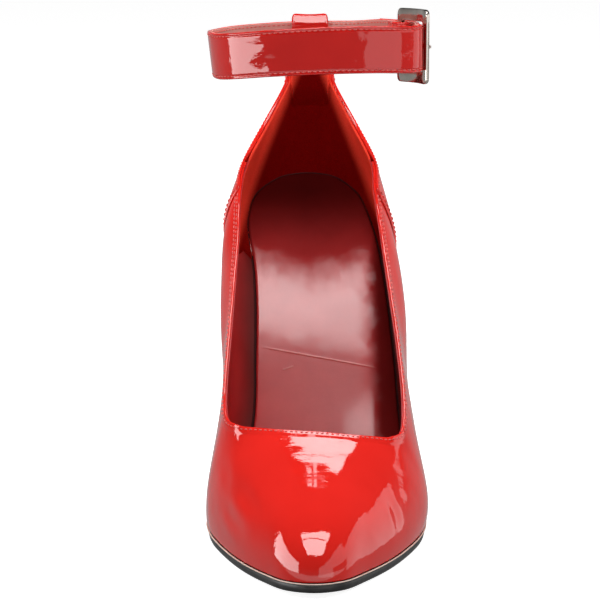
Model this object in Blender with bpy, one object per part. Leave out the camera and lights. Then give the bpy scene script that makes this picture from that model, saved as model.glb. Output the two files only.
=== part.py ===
"""Closed-toe ankle-strap high heel, left shoe, standing empty on its sole and heel tip.

The toe points along -Y, the outer side of the foot is +X and the floor is z = 0. The origin
is on the floor in the middle of the forefoot's flat spot. Sizes are in millimetres until a
mesh is made, and "back" is the distance behind the toe tip along the floor.
"""

import math

import bmesh
import bpy
import numpy as np

MM = 0.001
CLEARANCE = 0.3

# Bottom of the last, seen from the side
TOE_TO_ORIGIN = 66.0
TOE_SPRING = 2.3
FLAT_START = 46.0
FLAT_END = 86.0
BALL_RADIUS = 34.0
SHANK_ANGLE = math.radians(59.0)
SHANK_END = 155.0
SEAT_RADIUS = 55.0
SEAT_ANGLE = math.radians(30.0)
HEEL_BREAST = 157.0

# Thicknesses
SOLE = 3.0
SOLE_TOE_LIP = 0.8
SOLE_SIDE_TUCK = 1.0
SOLE_LIP_END = 45.0
SOLE_EDGE_TAPER = 0.5
INSOLE = 2.0
INSOLE_INSET = 2.3
WALL = 1.6
QUARTER_STEP = 0.9
QUARTER_SEAM_ROW = 10
QUARTER_SEAM_TURN = 0.04
SHARP_EDGE = math.radians(40.0)

# Ribs of the upper run from the featherline up to its cut edge. A station's row gives how far
# behind the toe its foot is, the shares of the rib's rise taken by its two handles, and how
# far the upper handle reaches from the edge towards the foot.
STATION_COLUMNS = ("foot_back", "low_rise", "high_drop", "reach")
STATIONS = (
    (0.0, 0.42, 0.30, 0.55),
    (4.0, 0.42, 0.30, 0.54),
    (17.0, 0.42, 0.29, 0.52),
    (35.0, 0.42, 0.28, 0.48),
    (55.0, 0.42, 0.27, 0.35),
    (72.0, 0.40, 0.28, 0.12),
    (86.0, 0.36, 0.32, 0.00),
    (102.0, 0.33, 0.33, 0.00),
    (119.0, 0.33, 0.33, 0.00),
    (136.0, 0.33, 0.33, 0.00),
    (152.0, 0.33, 0.33, 0.00),
    (168.0, 0.33, 0.33, 0.00),
    (182.0, 0.33, 0.33, 0.00),
    (191.0, 0.33, 0.33, 0.00),
    (193.0, 0.33, 0.33, 0.00),
    (193.5, 0.33, 0.33, 0.00),
)
SIDE_COLUMNS = ("foot_x", "edge_back", "edge_x", "edge_z", "low_belly", "high_belly")
TIP_ROW = (-4.2, 62.5, -2.0, 44.0, 2.0, 0.0)
INNER_SIDE = (
    (-13.8, 62.6, -8.5, 44.4, 2.0, 0.0),
    (-22.3, 63.3, -16.0, 44.8, 2.0, 0.0),
    (-31.0, 65.0, -23.5, 45.0, 2.0, 0.5),
    (-38.0, 68.5, -30.5, 45.0, 2.0, 1.0),
    (-41.8, 76.5, -35.2, 46.2, 2.0, 2.0),
    (-42.2, 87.0, -35.8, 53.4, 1.5, 1.5),
    (-36.5, 101.0, -34.2, 69.0, 3.5, 2.5),
    (-26.5, 116.0, -32.0, 86.0, 11.0, 8.4),
    (-24.5, 132.0, -29.9, 102.5, 14.0, 10.5),
    (-24.5, 148.0, -28.7, 119.0, 12.5, 9.0),
    (-27.0, 166.0, -26.0, 127.5, 3.0, 3.0),
    (-23.0, 183.0, -18.0, 139.0, 3.0, 3.0),
    (-13.0, 190.2, -9.6, 153.8, 3.6, 1.2),
    (-6.5, 191.4, -7.8, 159.3, 3.8, 0.4),
)
BACK_ROW = (-1.0, 192.1, 0.0, 159.5, 3.8, 0.3)
OUTER_SIDE = (
    (5.5, 62.7, 4.5, 43.4, 2.0, 0.0),
    (14.8, 63.5, 12.0, 42.4, 2.5, 0.5),
    (25.5, 65.5, 19.5, 41.2, 3.0, 1.0),
    (34.5, 69.0, 26.5, 40.0, 3.5, 1.5),
    (39.4, 76.0, 31.3, 41.3, 4.0, 1.5),
    (40.6, 86.0, 32.4, 51.2, 3.5, 1.5),
    (38.5, 101.0, 31.0, 68.5, 2.5, 3.5),
    (34.5, 116.0, 28.8, 85.5, 4.0, 5.0),
    (32.5, 132.0, 26.4, 102.0, 6.5, 8.8),
    (29.5, 148.0, 24.4, 118.0, 6.5, 6.8),
    (25.0, 166.0, 24.0, 127.5, 3.0, 3.0),
    (20.0, 183.0, 17.5, 139.0, 3.0, 3.0),
    (11.0, 190.2, 9.6, 153.8, 3.6, 1.2),
    (4.5, 191.4, 7.8, 159.3, 3.8, 0.4),
)
RIBS_PER_ROW = 3
RIB_POINTS = 13
OUTLINE_STEP = 0.02
BREAST_SEARCH = 1200
OUTSOLE_ROWS = 41
INSOLE_ROWS = 61

# Heel, from the seat down: share of the drop, where its front and back are, its width as a
# share of the seat's, and how far its breast is hollowed
HEEL_COLUMNS = ("drop", "front", "back", "width_share", "hollow")
HEEL_RINGS = (
    (0.00, 157.3, 193.5, 1.000, 0.0),
    (0.07, 157.6, 194.0, 0.920, 0.8),
    (0.15, 161.5, 193.4, 0.740, 2.5),
    (0.28, 168.0, 191.6, 0.490, 2.5),
    (0.45, 172.6, 189.4, 0.325, 1.5),
    (0.65, 174.8, 187.9, 0.245, 0.8),
    (0.85, 176.0, 187.1, 0.210, 0.4),
    (1.00, 176.4, 186.9, 0.202, 0.3),
)
HEEL_HOLLOW_SHARE = 0.25
HEEL_TIP_HEIGHT = 5.5
HEEL_TIP_SHARE = 0.96
HEEL_SIDE_POINTS = 25
HEEL_BREAST_POINTS = 7

# Ankle strap and buckle. The buckle has its own axes in plan: "along" from its hinge bar to
# its front bar, and "out" away from the ankle.
STRAP_WIDTH = 18.0
STRAP = 1.8
BUCKLE_CENTRE = (38.1, 141.0)
BUCKLE_TURN = math.radians(24.0)
BUCKLE_Z = 175.4
BUCKLE_CLIMB = 0.08
BUCKLE_LENGTH = 24.0
BUCKLE_HEIGHT = 28.7
BUCKLE_BAR = 4.8
BUCKLE_END_BAR = 3.5
BUCKLE_THICKNESS = 1.6
BUCKLE_BOW = 1.0
BUCKLE_CORNER = 2.4
BUCKLE_INNER_CORNER = 0.8
BUCKLE_SIDE_POINTS = 5

# Strap route in plan: folded end round the hinge bar (along, out, z), then the ring round the
# ankle (x, back, z), then the tail through the buckle (along, out, z)
FOLD_ROUTE = (
    (-21.0, 0.6, 173.6),
    (-15.5, -0.8, 174.1),
    (-11.5, -2.2, 174.5),
    (-7.7, -1.6, 174.7),
    (-6.8, 0.0, 174.8),
    (-7.7, 1.6, 174.7),
    (-11.5, 2.2, 174.5),
    (-15.5, 2.6, 174.1),
    (-22.8, 2.8, 173.6),
)
RING_ROUTE = (
    (25.3, 175.0, 172.2),
    (17.5, 185.3, 170.3),
    (9.0, 190.9, 169.5),
    (0.0, 192.2, 169.2),
    (-9.0, 190.9, 169.2),
    (-20.0, 185.0, 169.3),
    (-30.2, 175.5, 169.7),
    (-36.8, 163.0, 170.3),
    (-39.2, 149.0, 171.6),
    (-36.8, 136.0, 172.4),
    (-30.0, 126.0, 174.0),
    (-18.0, 119.5, 175.8),
    (-4.0, 117.0, 176.9),
    (10.0, 116.6, 177.4),
    (23.0, 117.6, 177.4),
    (32.0, 119.8, 177.0),
    (37.6, 123.3, 176.7),
)
TAIL_ROUTE = (
    (13.0, -4.0, 176.5),
    (10.0, -2.6, 176.2),
    (7.0, -1.9, 176.0),
    (3.5, -0.4, 175.7),
    (-0.5, 1.9, 175.4),
    (-4.5, 3.8, 175.0),
    (-10.0, 4.5, 174.6),
    (-15.5, 4.9, 174.1),
    (-22.8, 5.1, 173.5),
    (-32.0, 4.9, 172.7),
    (-37.0, 4.4, 172.3),
)
RING_BACK_ROW = 3
ROUTE_STEPS = 4

# Prong, in the buckle's axes: its hook passes behind the hinge bar, its tip rests on the front
PRONG_ROUTE = (
    (-8.6, -2.0, 0.0),
    (-11.2, -2.0, 0.0),
    (-13.0, -1.2, 0.0),
    (-13.4, 0.0, 0.0),
    (-13.0, 1.2, 0.0),
    (-11.2, 1.9, 0.0),
    (-8.0, 1.9, 0.0),
    (0.0, 1.9, 0.0),
    (8.0, 1.9, 0.0),
    (11.0, 1.75, 0.0),
)
PRONG = 1.2
PRONG_WIDTH = 2.2
PRONG_HOLE_ROOM = 0.4

# Back loop, beside the strap at the back of the ring: offset behind the strap's middle, height
LOOP_WIDTH = 14.5
LOOP = 1.1
LOOP_BACK_RADIUS = 33.0
LOOP_COLUMNS = 7
LOOP_STEPS = 2
LOOP_ROUTE = (
    (2.7, 149.5),
    (2.1, 157.0),
    (1.9, 164.0),
    (1.9, 178.8),
    (1.4, 180.1),
    (0.0, 180.6),
    (-1.4, 180.1),
    (-1.9, 178.8),
    (-1.9, 167.0),
    (-2.65, 159.5),
    (-2.4, 154.0),
    (-1.9, 149.5),
)

# Finishes
PATENT_RED = (0.62, 0.012, 0.010, 1.0)
STRAP_RED = (0.45, 0.008, 0.008, 1.0)
BURGUNDY = (0.20, 0.012, 0.018, 1.0)
BLACK = (0.012, 0.012, 0.012, 1.0)
NICKEL = (0.60, 0.58, 0.56, 1.0)


def clear_scene():
    for old in list(bpy.data.objects):
        bpy.data.objects.remove(old, do_unlink=True)


def finish_material(name, colour, roughness, metallic=0.0):
    made = bpy.data.materials.new(name)
    made.use_nodes = True
    shader = made.node_tree.nodes["Principled BSDF"]
    shader.inputs["Base Color"].default_value = colour
    shader.inputs["Roughness"].default_value = roughness
    shader.inputs["Metallic"].default_value = metallic
    return made


def to_world(points):
    """Points as (x, back, z) in millimetres, to (x, y, z) in metres."""
    points = np.asarray(points, float)
    return (points - np.array([0.0, TOE_TO_ORIGIN, 0.0])) * MM


def add_solid(name, points, faces, material):
    """One closed body, its faces turned outward."""
    mesh = bpy.data.meshes.new(name)
    mesh.from_pydata([tuple(p) for p in to_world(points)], [], faces)
    work = bmesh.new()
    work.from_mesh(mesh)
    bmesh.ops.remove_doubles(work, verts=work.verts, dist=1e-6)
    bmesh.ops.recalc_face_normals(work, faces=work.faces)
    work.to_mesh(mesh)
    work.free()
    mesh.shade_smooth()
    mesh.set_sharp_from_angle(angle=SHARP_EDGE)
    mesh.materials.append(material)
    made = bpy.data.objects.new(name, mesh)
    bpy.context.scene.collection.objects.link(made)
    return made


def slab_faces(rows, columns, closed):
    """Quads of a sheet with two sides: front points first, then back points, joined at the rim."""
    count = rows * columns
    spans = rows if closed else rows - 1
    faces = []
    for i in range(spans):
        near, far = i * columns, (i + 1) % rows * columns
        for j in range(columns - 1):
            front = (near + j, far + j, far + j + 1, near + j + 1)
            faces.append(front)
            faces.append(tuple(count + k for k in reversed(front)))
        for j in (0, columns - 1):
            faces.append((near + j, far + j, count + far + j, count + near + j))
    if not closed:
        for i in (0, (rows - 1) * columns):
            for j in range(columns - 1):
                faces.append((i + j, i + j + 1, count + i + j + 1, count + i + j))
    return faces


def add_slab(name, front, back, material, closed=False):
    rows, columns = front.shape[:2]
    points = np.concatenate([front.reshape(-1, 3), back.reshape(-1, 3)])
    return add_solid(name, points, slab_faces(rows, columns, closed), material)


def spline(rows, places, knots, closed):
    """Smooth curve through the rows of a table, read at these places along its knots."""
    rows = np.asarray(rows, float)
    if closed:
        period = knots[-1]
        rows = np.concatenate([rows[-1:], rows, rows[:2]])
        knots = np.concatenate([[knots[-2] - period], knots, [knots[1] + period]])
    steps = np.diff(knots)[:, None]
    slopes = np.diff(rows, axis=0) / steps
    tangents = np.empty_like(rows)
    tangents[0] = slopes[0]
    tangents[-1] = slopes[-1]
    tangents[1:-1] = (slopes[:-1] * steps[1:] + slopes[1:] * steps[:-1]) / (steps[:-1] + steps[1:])
    span = np.clip(np.searchsorted(knots, places, side="right") - 1, 0, len(knots) - 2)
    width = steps[span]
    t = (places - knots[span])[:, None] / width
    start = (2 * t**3 - 3 * t**2 + 1) * rows[span] + (t**3 - 2 * t**2 + t) * width * tangents[span]
    end = (3 * t**2 - 2 * t**3) * rows[span + 1] + (t**3 - t**2) * width * tangents[span + 1]
    return start + end


def base(back):
    """Height and slope of the top of the outsole: toe spring, flat, ball arc, shank, seat."""
    back = np.asarray(back, float)
    ball_end = FLAT_END + BALL_RADIUS * math.sin(SHANK_ANGLE)
    ball_rise = BALL_RADIUS * (1.0 - math.cos(SHANK_ANGLE))
    shank_rise = ball_rise + (SHANK_END - ball_end) * math.tan(SHANK_ANGLE)
    seat_start = SHANK_END + SEAT_RADIUS * (math.sin(SHANK_ANGLE) - math.sin(SEAT_ANGLE))
    seat_rise = shank_rise + SEAT_RADIUS * (math.cos(SEAT_ANGLE) - math.cos(SHANK_ANGLE))
    toe = np.clip(1.0 - back / FLAT_START, 0.0, None)
    ball = np.clip((back - FLAT_END) / BALL_RADIUS, 0.0, math.sin(SHANK_ANGLE))
    seat = np.clip(math.sin(SHANK_ANGLE) - (back - SHANK_END) / SEAT_RADIUS, math.sin(SEAT_ANGLE), 1.0)
    pieces = (back < FLAT_END, back < ball_end, back < SHANK_END, back < seat_start)
    heights = (
        TOE_SPRING * toe**2,
        BALL_RADIUS * (1.0 - np.sqrt(1.0 - ball**2)),
        ball_rise + (back - ball_end) * math.tan(SHANK_ANGLE),
        shank_rise + SEAT_RADIUS * (np.sqrt(1.0 - seat**2) - math.cos(SHANK_ANGLE)),
    )
    slopes = (
        np.arctan(-2.0 * TOE_SPRING / FLAT_START * toe),
        np.arcsin(ball),
        np.full_like(back, SHANK_ANGLE),
        np.arcsin(np.clip(seat, 0.0, 1.0)),
    )
    height = np.select(pieces, heights, seat_rise + (back - seat_start) * math.tan(SEAT_ANGLE))
    return SOLE + height, np.select(pieces, slopes, SEAT_ANGLE)


def on_base(plan, lift):
    """Plan points (x, back) put on the base, then lifted square to it."""
    height, slope = base(plan[..., 1])
    return np.stack(
        [plan[..., 0], plan[..., 1] - lift * np.sin(slope), height + lift * np.cos(slope)], axis=-1
    )


def under_base(plan, thickness):
    """Plan points dropped straight below the base by a thickness measured square to it."""
    height, slope = base(plan[..., 1])
    return np.concatenate([plan, (height - thickness / np.cos(slope))[..., None]], axis=-1)


def rib_rows():
    """All rows round the shoe: toe tip, inner side, back, outer side back to the toe."""
    side = [TIP_ROW, *INNER_SIDE, BACK_ROW, *reversed(OUTER_SIDE)]
    last = len(STATIONS) - 1
    stations = [STATIONS[i if i <= last else 2 * last - i] for i in range(2 * last)]
    return np.array([(*station, *row) for station, row in zip(stations, side)])


def by_column(rows):
    """Columns of these rib rows, by name."""
    return dict(zip(STATION_COLUMNS + SIDE_COLUMNS, rows.T))


def rib_knots(rows):
    """Knots by the root of the distance between feet, closed round the shoe."""
    ribs = by_column(rows)
    feet = np.column_stack([ribs["foot_x"], ribs["foot_back"], base(ribs["foot_back"])[0]])
    gaps = np.linalg.norm(np.roll(feet, -1, axis=0) - feet, axis=1)
    return np.concatenate([[0.0], np.cumsum(np.sqrt(gaps))])


def read_ribs(turns):
    """Named table values at these turns, a turn being a row number that may lie between rows."""
    rows = rib_rows()
    knots = rib_knots(rows)
    places = np.interp(turns, np.arange(len(knots)), knots)
    return by_column(spline(rows, places, knots, closed=True))


def foot_outline(turns):
    """Plan of the featherline at these turns, and its outward normals."""
    plans = []
    for step in (0.0, OUTLINE_STEP, -OUTLINE_STEP):
        ribs = read_ribs(turns + step)
        plans.append(np.column_stack([ribs["foot_x"], ribs["foot_back"]]))
    plan, ahead, behind = plans
    along = ahead - behind
    normal = np.column_stack([-along[:, 1], along[:, 0]])
    return plan, normal / np.linalg.norm(normal, axis=1)[:, None]


def upper_skin(turns, shares):
    """Outer surface of the upper: a rib at each turn, a point at each share of its length."""
    row_count = 2 * (len(STATIONS) - 1)
    turns = np.asarray(turns) % row_count
    ribs = read_ribs(turns)
    plan, normal = foot_outline(turns)
    foot = on_base(plan, CLEARANCE)
    edge = np.column_stack([ribs["edge_x"], ribs["edge_back"], ribs["edge_z"]])
    rise = edge[:, 2] - foot[:, 2]
    low_out = normal * ribs["low_belly"][:, None]
    low_handle = foot + np.column_stack([low_out, rise * ribs["low_rise"]])
    high_out = normal * ribs["high_belly"][:, None] + (plan - edge[:, :2]) * ribs["reach"][:, None]
    high_handle = edge + np.column_stack([high_out, -rise * ribs["high_drop"]])
    t = np.asarray(shares)[None, :, None]
    return (
        (1 - t) ** 3 * foot[:, None]
        + 3 * (1 - t) ** 2 * t * low_handle[:, None]
        + 3 * (1 - t) * t**2 * high_handle[:, None]
        + t**3 * edge[:, None]
    )


def skin_normals(skin):
    """Outward unit normals of a skin whose ribs run round the shoe."""
    around = np.roll(skin, -1, axis=0) - np.roll(skin, 1, axis=0)
    up = np.gradient(skin, axis=1)
    normal = np.cross(up, around)
    return normal / np.linalg.norm(normal, axis=2)[:, :, None]


def make_upper(material):
    """Vamp and quarter as one hollow wall. The quarter overlaps the vamp, a step at its seam."""
    row_count = 2 * (len(STATIONS) - 1)
    turns = np.arange(row_count * RIBS_PER_ROW) / RIBS_PER_ROW
    seams = (QUARTER_SEAM_ROW, row_count - QUARTER_SEAM_ROW)
    steps = (seams[0] + QUARTER_SEAM_TURN, seams[1] - QUARTER_SEAM_TURN)
    turns = np.sort(np.concatenate([turns, steps]))
    skin = upper_skin(turns, np.linspace(0.0, 1.0, RIB_POINTS))
    normals = skin_normals(skin)
    inside = skin - WALL * normals
    inside[:, 0] = skin[:, 0] - WALL * np.pad(foot_outline(turns)[1], ((0, 0), (0, 1)))
    raised = (turns > seams[0]) & (turns < seams[1])
    outside = skin + QUARTER_STEP * raised[:, None, None] * normals
    outside[:, 0] = skin[:, 0]
    return add_slab("upper", outside, inside, material, closed=True)


def breast_turn(back):
    """Turn on the inner side where the featherline crosses the heel breast."""
    turns = np.linspace(0.0, len(STATIONS) - 1.0, BREAST_SEARCH)
    return float(np.interp(back, read_ribs(turns)["foot_back"], turns))


def sheet_plan(turns, inset):
    """Plan of a sheet ruled from side to side, moved in from the featherline at each turn."""
    row_count = 2 * (len(STATIONS) - 1)
    sides = []
    for places in (turns, (row_count - turns) % row_count):
        plan, normal = foot_outline(places)
        sides.append(plan - np.broadcast_to(inset, len(turns))[:, None] * normal)
    return np.stack([sides[0], (sides[0] + sides[1]) / 2.0, sides[1]], axis=1)


def make_outsole(material):
    """Thin sole, a little lip ahead of the toe and tucked under the upper along its sides."""
    turns = np.linspace(0.0, breast_turn(HEEL_BREAST), OUTSOLE_ROWS)
    tuck = np.interp(
        read_ribs(turns)["foot_back"], (0.0, SOLE_LIP_END), (-SOLE_TOE_LIP, SOLE_SIDE_TUCK)
    )
    top = on_base(sheet_plan(turns, tuck), 0.0)
    bottom = under_base(sheet_plan(turns, tuck + SOLE_EDGE_TAPER), SOLE)
    return add_slab("outsole", top, bottom, material)


def make_insole(material):
    turns = np.linspace(0.0, len(STATIONS) - 1.0, INSOLE_ROWS)
    plan = sheet_plan(turns, INSOLE_INSET)
    return add_slab("insole", on_base(plan, CLEARANCE + INSOLE), on_base(plan, CLEARANCE), material)


def heel_seat():
    """Plan loop of the seat behind the breast: round the back, then straight across the breast."""
    first = breast_turn(HEEL_BREAST + CLEARANCE)
    row_count = 2 * (len(STATIONS) - 1)
    around = foot_outline(np.linspace(first, row_count - first, HEEL_SIDE_POINTS))[0]
    share = np.linspace(0.0, 1.0, HEEL_BREAST_POINTS)[1:-1, None]
    return np.concatenate([around, around[-1] + share * (around[0] - around[-1])])


def heel_ring(seat, row):
    """One section of the heel, with its breast hollowed between the two corners."""
    ring = dict(zip(HEEL_COLUMNS, row))
    along = (seat[:, 1] - seat[:, 1].min()) / np.ptp(seat[:, 1])
    across = seat[:, 0] / np.abs(seat[:, 0]).max()
    seat_z = base(seat[:, 1])[0]
    floor_z = HEEL_TIP_HEIGHT + CLEARANCE
    near_breast = np.clip(1.0 - along / HEEL_HOLLOW_SHARE, 0.0, 1.0)
    depth = ring["hollow"] * np.clip(1.0 - across**2, 0.0, 1.0) * near_breast
    return np.column_stack(
        [
            seat[:, 0] * ring["width_share"],
            ring["front"] + along * (ring["back"] - ring["front"]) + depth,
            seat_z + ring["drop"] * (floor_z - seat_z),
        ]
    )


def heel_cap(start):
    """Strips from side to side over one ring of the heel, the first one along the breast."""
    last = start + HEEL_SIDE_POINTS - 1
    breast = tuple(range(last, start + HEEL_SIDE_POINTS + HEEL_BREAST_POINTS - 2))
    faces = [(start, start + 1, last - 1, *breast)]
    for i in range(1, HEEL_SIDE_POINTS // 2):
        faces.append(tuple(dict.fromkeys((start + i, start + i + 1, last - i - 1, last - i))))
    return faces


def add_loft(name, rings, material):
    """Closed body through rings of the heel, its two ends capped."""
    count = len(rings[0])
    faces = heel_cap(0) + heel_cap((len(rings) - 1) * count)
    for level in range(len(rings) - 1):
        for i in range(count):
            j = (i + 1) % count
            near, far = level * count, (level + 1) * count
            faces.append((near + i, near + j, far + j, far + i))
    return add_solid(name, np.concatenate(rings), faces, material)


def make_heel(material):
    seat = heel_seat()
    drops = np.array([row[0] for row in HEEL_RINGS])
    places = np.unique(np.concatenate([drops, (drops[:-1] + drops[1:]) / 2.0]))
    rings = [heel_ring(seat, row) for row in spline(HEEL_RINGS, places, drops, closed=False)]
    return add_loft("heel", rings, material)


def make_heel_tip(material):
    ring = heel_ring(heel_seat(), HEEL_RINGS[-1])
    middle = ring.mean(axis=0)
    plan = middle + (ring - middle) * HEEL_TIP_SHARE
    top, bottom = plan.copy(), plan.copy()
    top[:, 2] = HEEL_TIP_HEIGHT
    bottom[:, 2] = 0.0
    return add_loft("heel_tip", [top, bottom], material)


def from_buckle(route):
    """Points in the buckle's axes (along, out, z) to (x, back, z)."""
    along, out, z = np.asarray(route, float).T
    x = BUCKLE_CENTRE[0] + along * math.sin(BUCKLE_TURN) + out * math.cos(BUCKLE_TURN)
    back = BUCKLE_CENTRE[1] - along * math.cos(BUCKLE_TURN) + out * math.sin(BUCKLE_TURN)
    return np.column_stack([x, back, z])


def smooth_route(points, steps):
    gaps = np.linalg.norm(np.diff(points[:, :2], axis=0), axis=1)
    knots = np.concatenate([[0.0], np.cumsum(np.sqrt(gaps))])
    places = np.interp(np.arange((len(points) - 1) * steps + 1) / steps, np.arange(len(points)), knots)
    return spline(points, places, knots, closed=False)


def band(route, width, thickness):
    """Two faces of a strip on edge along a plan route: its width is upright."""
    along = np.gradient(route[:, :2], axis=0)
    normal = np.column_stack([-along[:, 1], along[:, 0]])
    normal = np.pad(normal / np.linalg.norm(normal, axis=1)[:, None], ((0, 0), (0, 1)))
    up = np.array([0.0, 0.0, width / 2.0])
    faces = []
    for side in (0.5, -0.5):
        line = route + side * thickness * normal
        faces.append(np.stack([line - up, line + up], axis=1))
    return faces


def strap_route():
    return np.concatenate([from_buckle(FOLD_ROUTE), RING_ROUTE, from_buckle(TAIL_ROUTE)])


def prong_route():
    along, out, lift = np.array(PRONG_ROUTE).T
    return from_buckle(np.column_stack([along, out, BUCKLE_Z + lift + along * BUCKLE_CLIMB]))


def cut_away(target, cutter):
    """Boolean cut, with the cutter kept in the file as a hidden guide."""
    cutter.hide_render = True
    cutter.display_type = "WIRE"
    cut = target.modifiers.new(cutter.name, "BOOLEAN")
    cut.operation = "DIFFERENCE"
    cut.object = cutter


def make_strap(material):
    route = smooth_route(strap_route(), ROUTE_STEPS)
    strap = add_slab("ankle_strap", *band(route, STRAP_WIDTH, STRAP), material)
    room = 2.0 * PRONG_HOLE_ROOM
    prong = smooth_route(prong_route(), ROUTE_STEPS)
    hole = add_slab("prong_hole", *band(prong, PRONG_WIDTH + room, PRONG + room), material)
    cut_away(strap, hole)
    return strap


def make_prong(material):
    route = smooth_route(prong_route(), ROUTE_STEPS)
    return add_slab("buckle_prong", *band(route, PRONG_WIDTH, PRONG), material)


def rounded_frame(length, height, corner):
    """Loop of a rounded rectangle, the same number of points on every side and corner."""
    loop = []
    for quarter in range(4):
        angle = math.pi / 2.0 * quarter
        turn = np.array([[math.cos(angle), math.sin(angle)], [-math.sin(angle), math.cos(angle)]])
        half = (length / 2.0, height / 2.0) if quarter % 2 == 0 else (height / 2.0, length / 2.0)
        straight = half[1] - corner
        for share in np.linspace(-1.0, 1.0, BUCKLE_SIDE_POINTS):
            loop.append(np.array([half[0], share * straight]) @ turn)
        for bend in (math.pi / 6.0, math.pi / 3.0):
            centre = np.array([half[0] - corner, straight])
            loop.append((centre + corner * np.array([math.cos(bend), math.sin(bend)])) @ turn)
    return np.array(loop)


def make_frame(material):
    """Flat square ring, bowed a little outward over its length."""
    outer = rounded_frame(BUCKLE_LENGTH, BUCKLE_HEIGHT, BUCKLE_CORNER)
    opening = (BUCKLE_LENGTH - 2.0 * BUCKLE_END_BAR, BUCKLE_HEIGHT - 2.0 * BUCKLE_BAR)
    inner = rounded_frame(*opening, BUCKLE_INNER_CORNER)
    bowed = BUCKLE_LENGTH / 2.0 - BUCKLE_END_BAR
    sides = []
    for face in (0.5, -0.5):
        loops = []
        for loop in (outer, inner):
            bow = BUCKLE_BOW * np.clip(1.0 - (loop[:, 0] / bowed) ** 2, 0.0, 1.0)
            out = face * BUCKLE_THICKNESS + bow
            z = BUCKLE_Z + loop[:, 1] + loop[:, 0] * BUCKLE_CLIMB
            loops.append(from_buckle(np.column_stack([loop[:, 0], out, z])))
        sides.append(np.stack(loops, axis=1))
    return add_slab("buckle_frame", *sides, material, closed=True)


def make_loop(material):
    """Strip over the strap at the back of the ring, its two ends beside the tab."""
    points = np.array(LOOP_ROUTE)
    route = smooth_route(np.column_stack([points, np.zeros(len(points))]), LOOP_STEPS)[:, :2]
    along = np.gradient(route, axis=0)
    normal = np.column_stack([along[:, 1], -along[:, 0]])
    normal /= np.linalg.norm(normal, axis=1)[:, None]
    across = np.linspace(-LOOP_WIDTH / 2.0, LOOP_WIDTH / 2.0, LOOP_COLUMNS)
    strap_middle = RING_ROUTE[RING_BACK_ROW][1] - across**2 / (2.0 * LOOP_BACK_RADIUS)
    sides = []
    for face in (0.5, -0.5):
        line = route + face * LOOP * normal
        back = strap_middle[None, :] + line[:, :1]
        x = np.broadcast_to(across, back.shape)
        z = np.broadcast_to(line[:, 1:], back.shape)
        sides.append(np.stack([x, back, z], axis=-1))
    return add_slab("strap_loop", *sides, material)


def main():
    clear_scene()
    patent = finish_material("patent_red", PATENT_RED, 0.12)
    strap_patent = finish_material("strap_patent", STRAP_RED, 0.12)
    black = finish_material("sole_black", BLACK, 0.45)
    nickel = finish_material("buckle_nickel", NICKEL, 0.15, metallic=1.0)
    make_upper(patent)
    make_outsole(black)
    make_insole(finish_material("insole_burgundy", BURGUNDY, 0.3))
    make_heel(finish_material("heel_cover", PATENT_RED, 0.12))
    make_heel_tip(finish_material("tip_black", BLACK, 0.6))
    make_strap(strap_patent)
    make_loop(finish_material("loop_patent", STRAP_RED, 0.12))
    make_frame(nickel)
    make_prong(finish_material("prong_nickel", NICKEL, 0.15, metallic=1.0))


main()
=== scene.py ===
"""Looks of the left ankle-strap high heel: patent upper, linings, stitches, sole, strap and buckle.

Sizes are in millimetres until a mesh is made. "back" is the distance behind the toe tip along the
floor, a "turn" is a row number round the upper, and a "share" is a place along a rib of it.
"""

import math

import bmesh
import bpy
import numpy as np
from mathutils import Matrix


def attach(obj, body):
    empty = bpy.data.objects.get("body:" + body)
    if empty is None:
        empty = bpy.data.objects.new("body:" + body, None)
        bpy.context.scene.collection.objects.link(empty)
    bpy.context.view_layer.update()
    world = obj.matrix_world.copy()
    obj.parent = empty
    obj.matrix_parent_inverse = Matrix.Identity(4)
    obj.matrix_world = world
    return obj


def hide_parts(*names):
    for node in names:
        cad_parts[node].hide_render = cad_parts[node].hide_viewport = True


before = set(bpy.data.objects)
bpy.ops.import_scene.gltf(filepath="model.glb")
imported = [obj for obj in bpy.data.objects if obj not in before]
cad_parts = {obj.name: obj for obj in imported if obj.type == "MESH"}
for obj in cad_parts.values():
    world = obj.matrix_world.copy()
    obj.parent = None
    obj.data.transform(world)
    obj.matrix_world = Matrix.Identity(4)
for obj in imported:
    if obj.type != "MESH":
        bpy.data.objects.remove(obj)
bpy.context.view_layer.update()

MM = 0.001
CLEARANCE = 0.3

# Bottom of the last, sole and quarter, as in the solids
TOE_TO_ORIGIN = 66.0
TOE_SPRING = 2.3
FLAT_START = 46.0
FLAT_END = 86.0
BALL_RADIUS = 34.0
SHANK_ANGLE = math.radians(59.0)
SHANK_END = 155.0
SEAT_RADIUS = 55.0
SEAT_ANGLE = math.radians(30.0)
HEEL_BREAST = 157.0
SOLE = 3.0
INSOLE = 2.0
INSOLE_INSET = 2.3
QUARTER_STEP = 0.9
QUARTER_SEAM_ROW = 10

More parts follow.
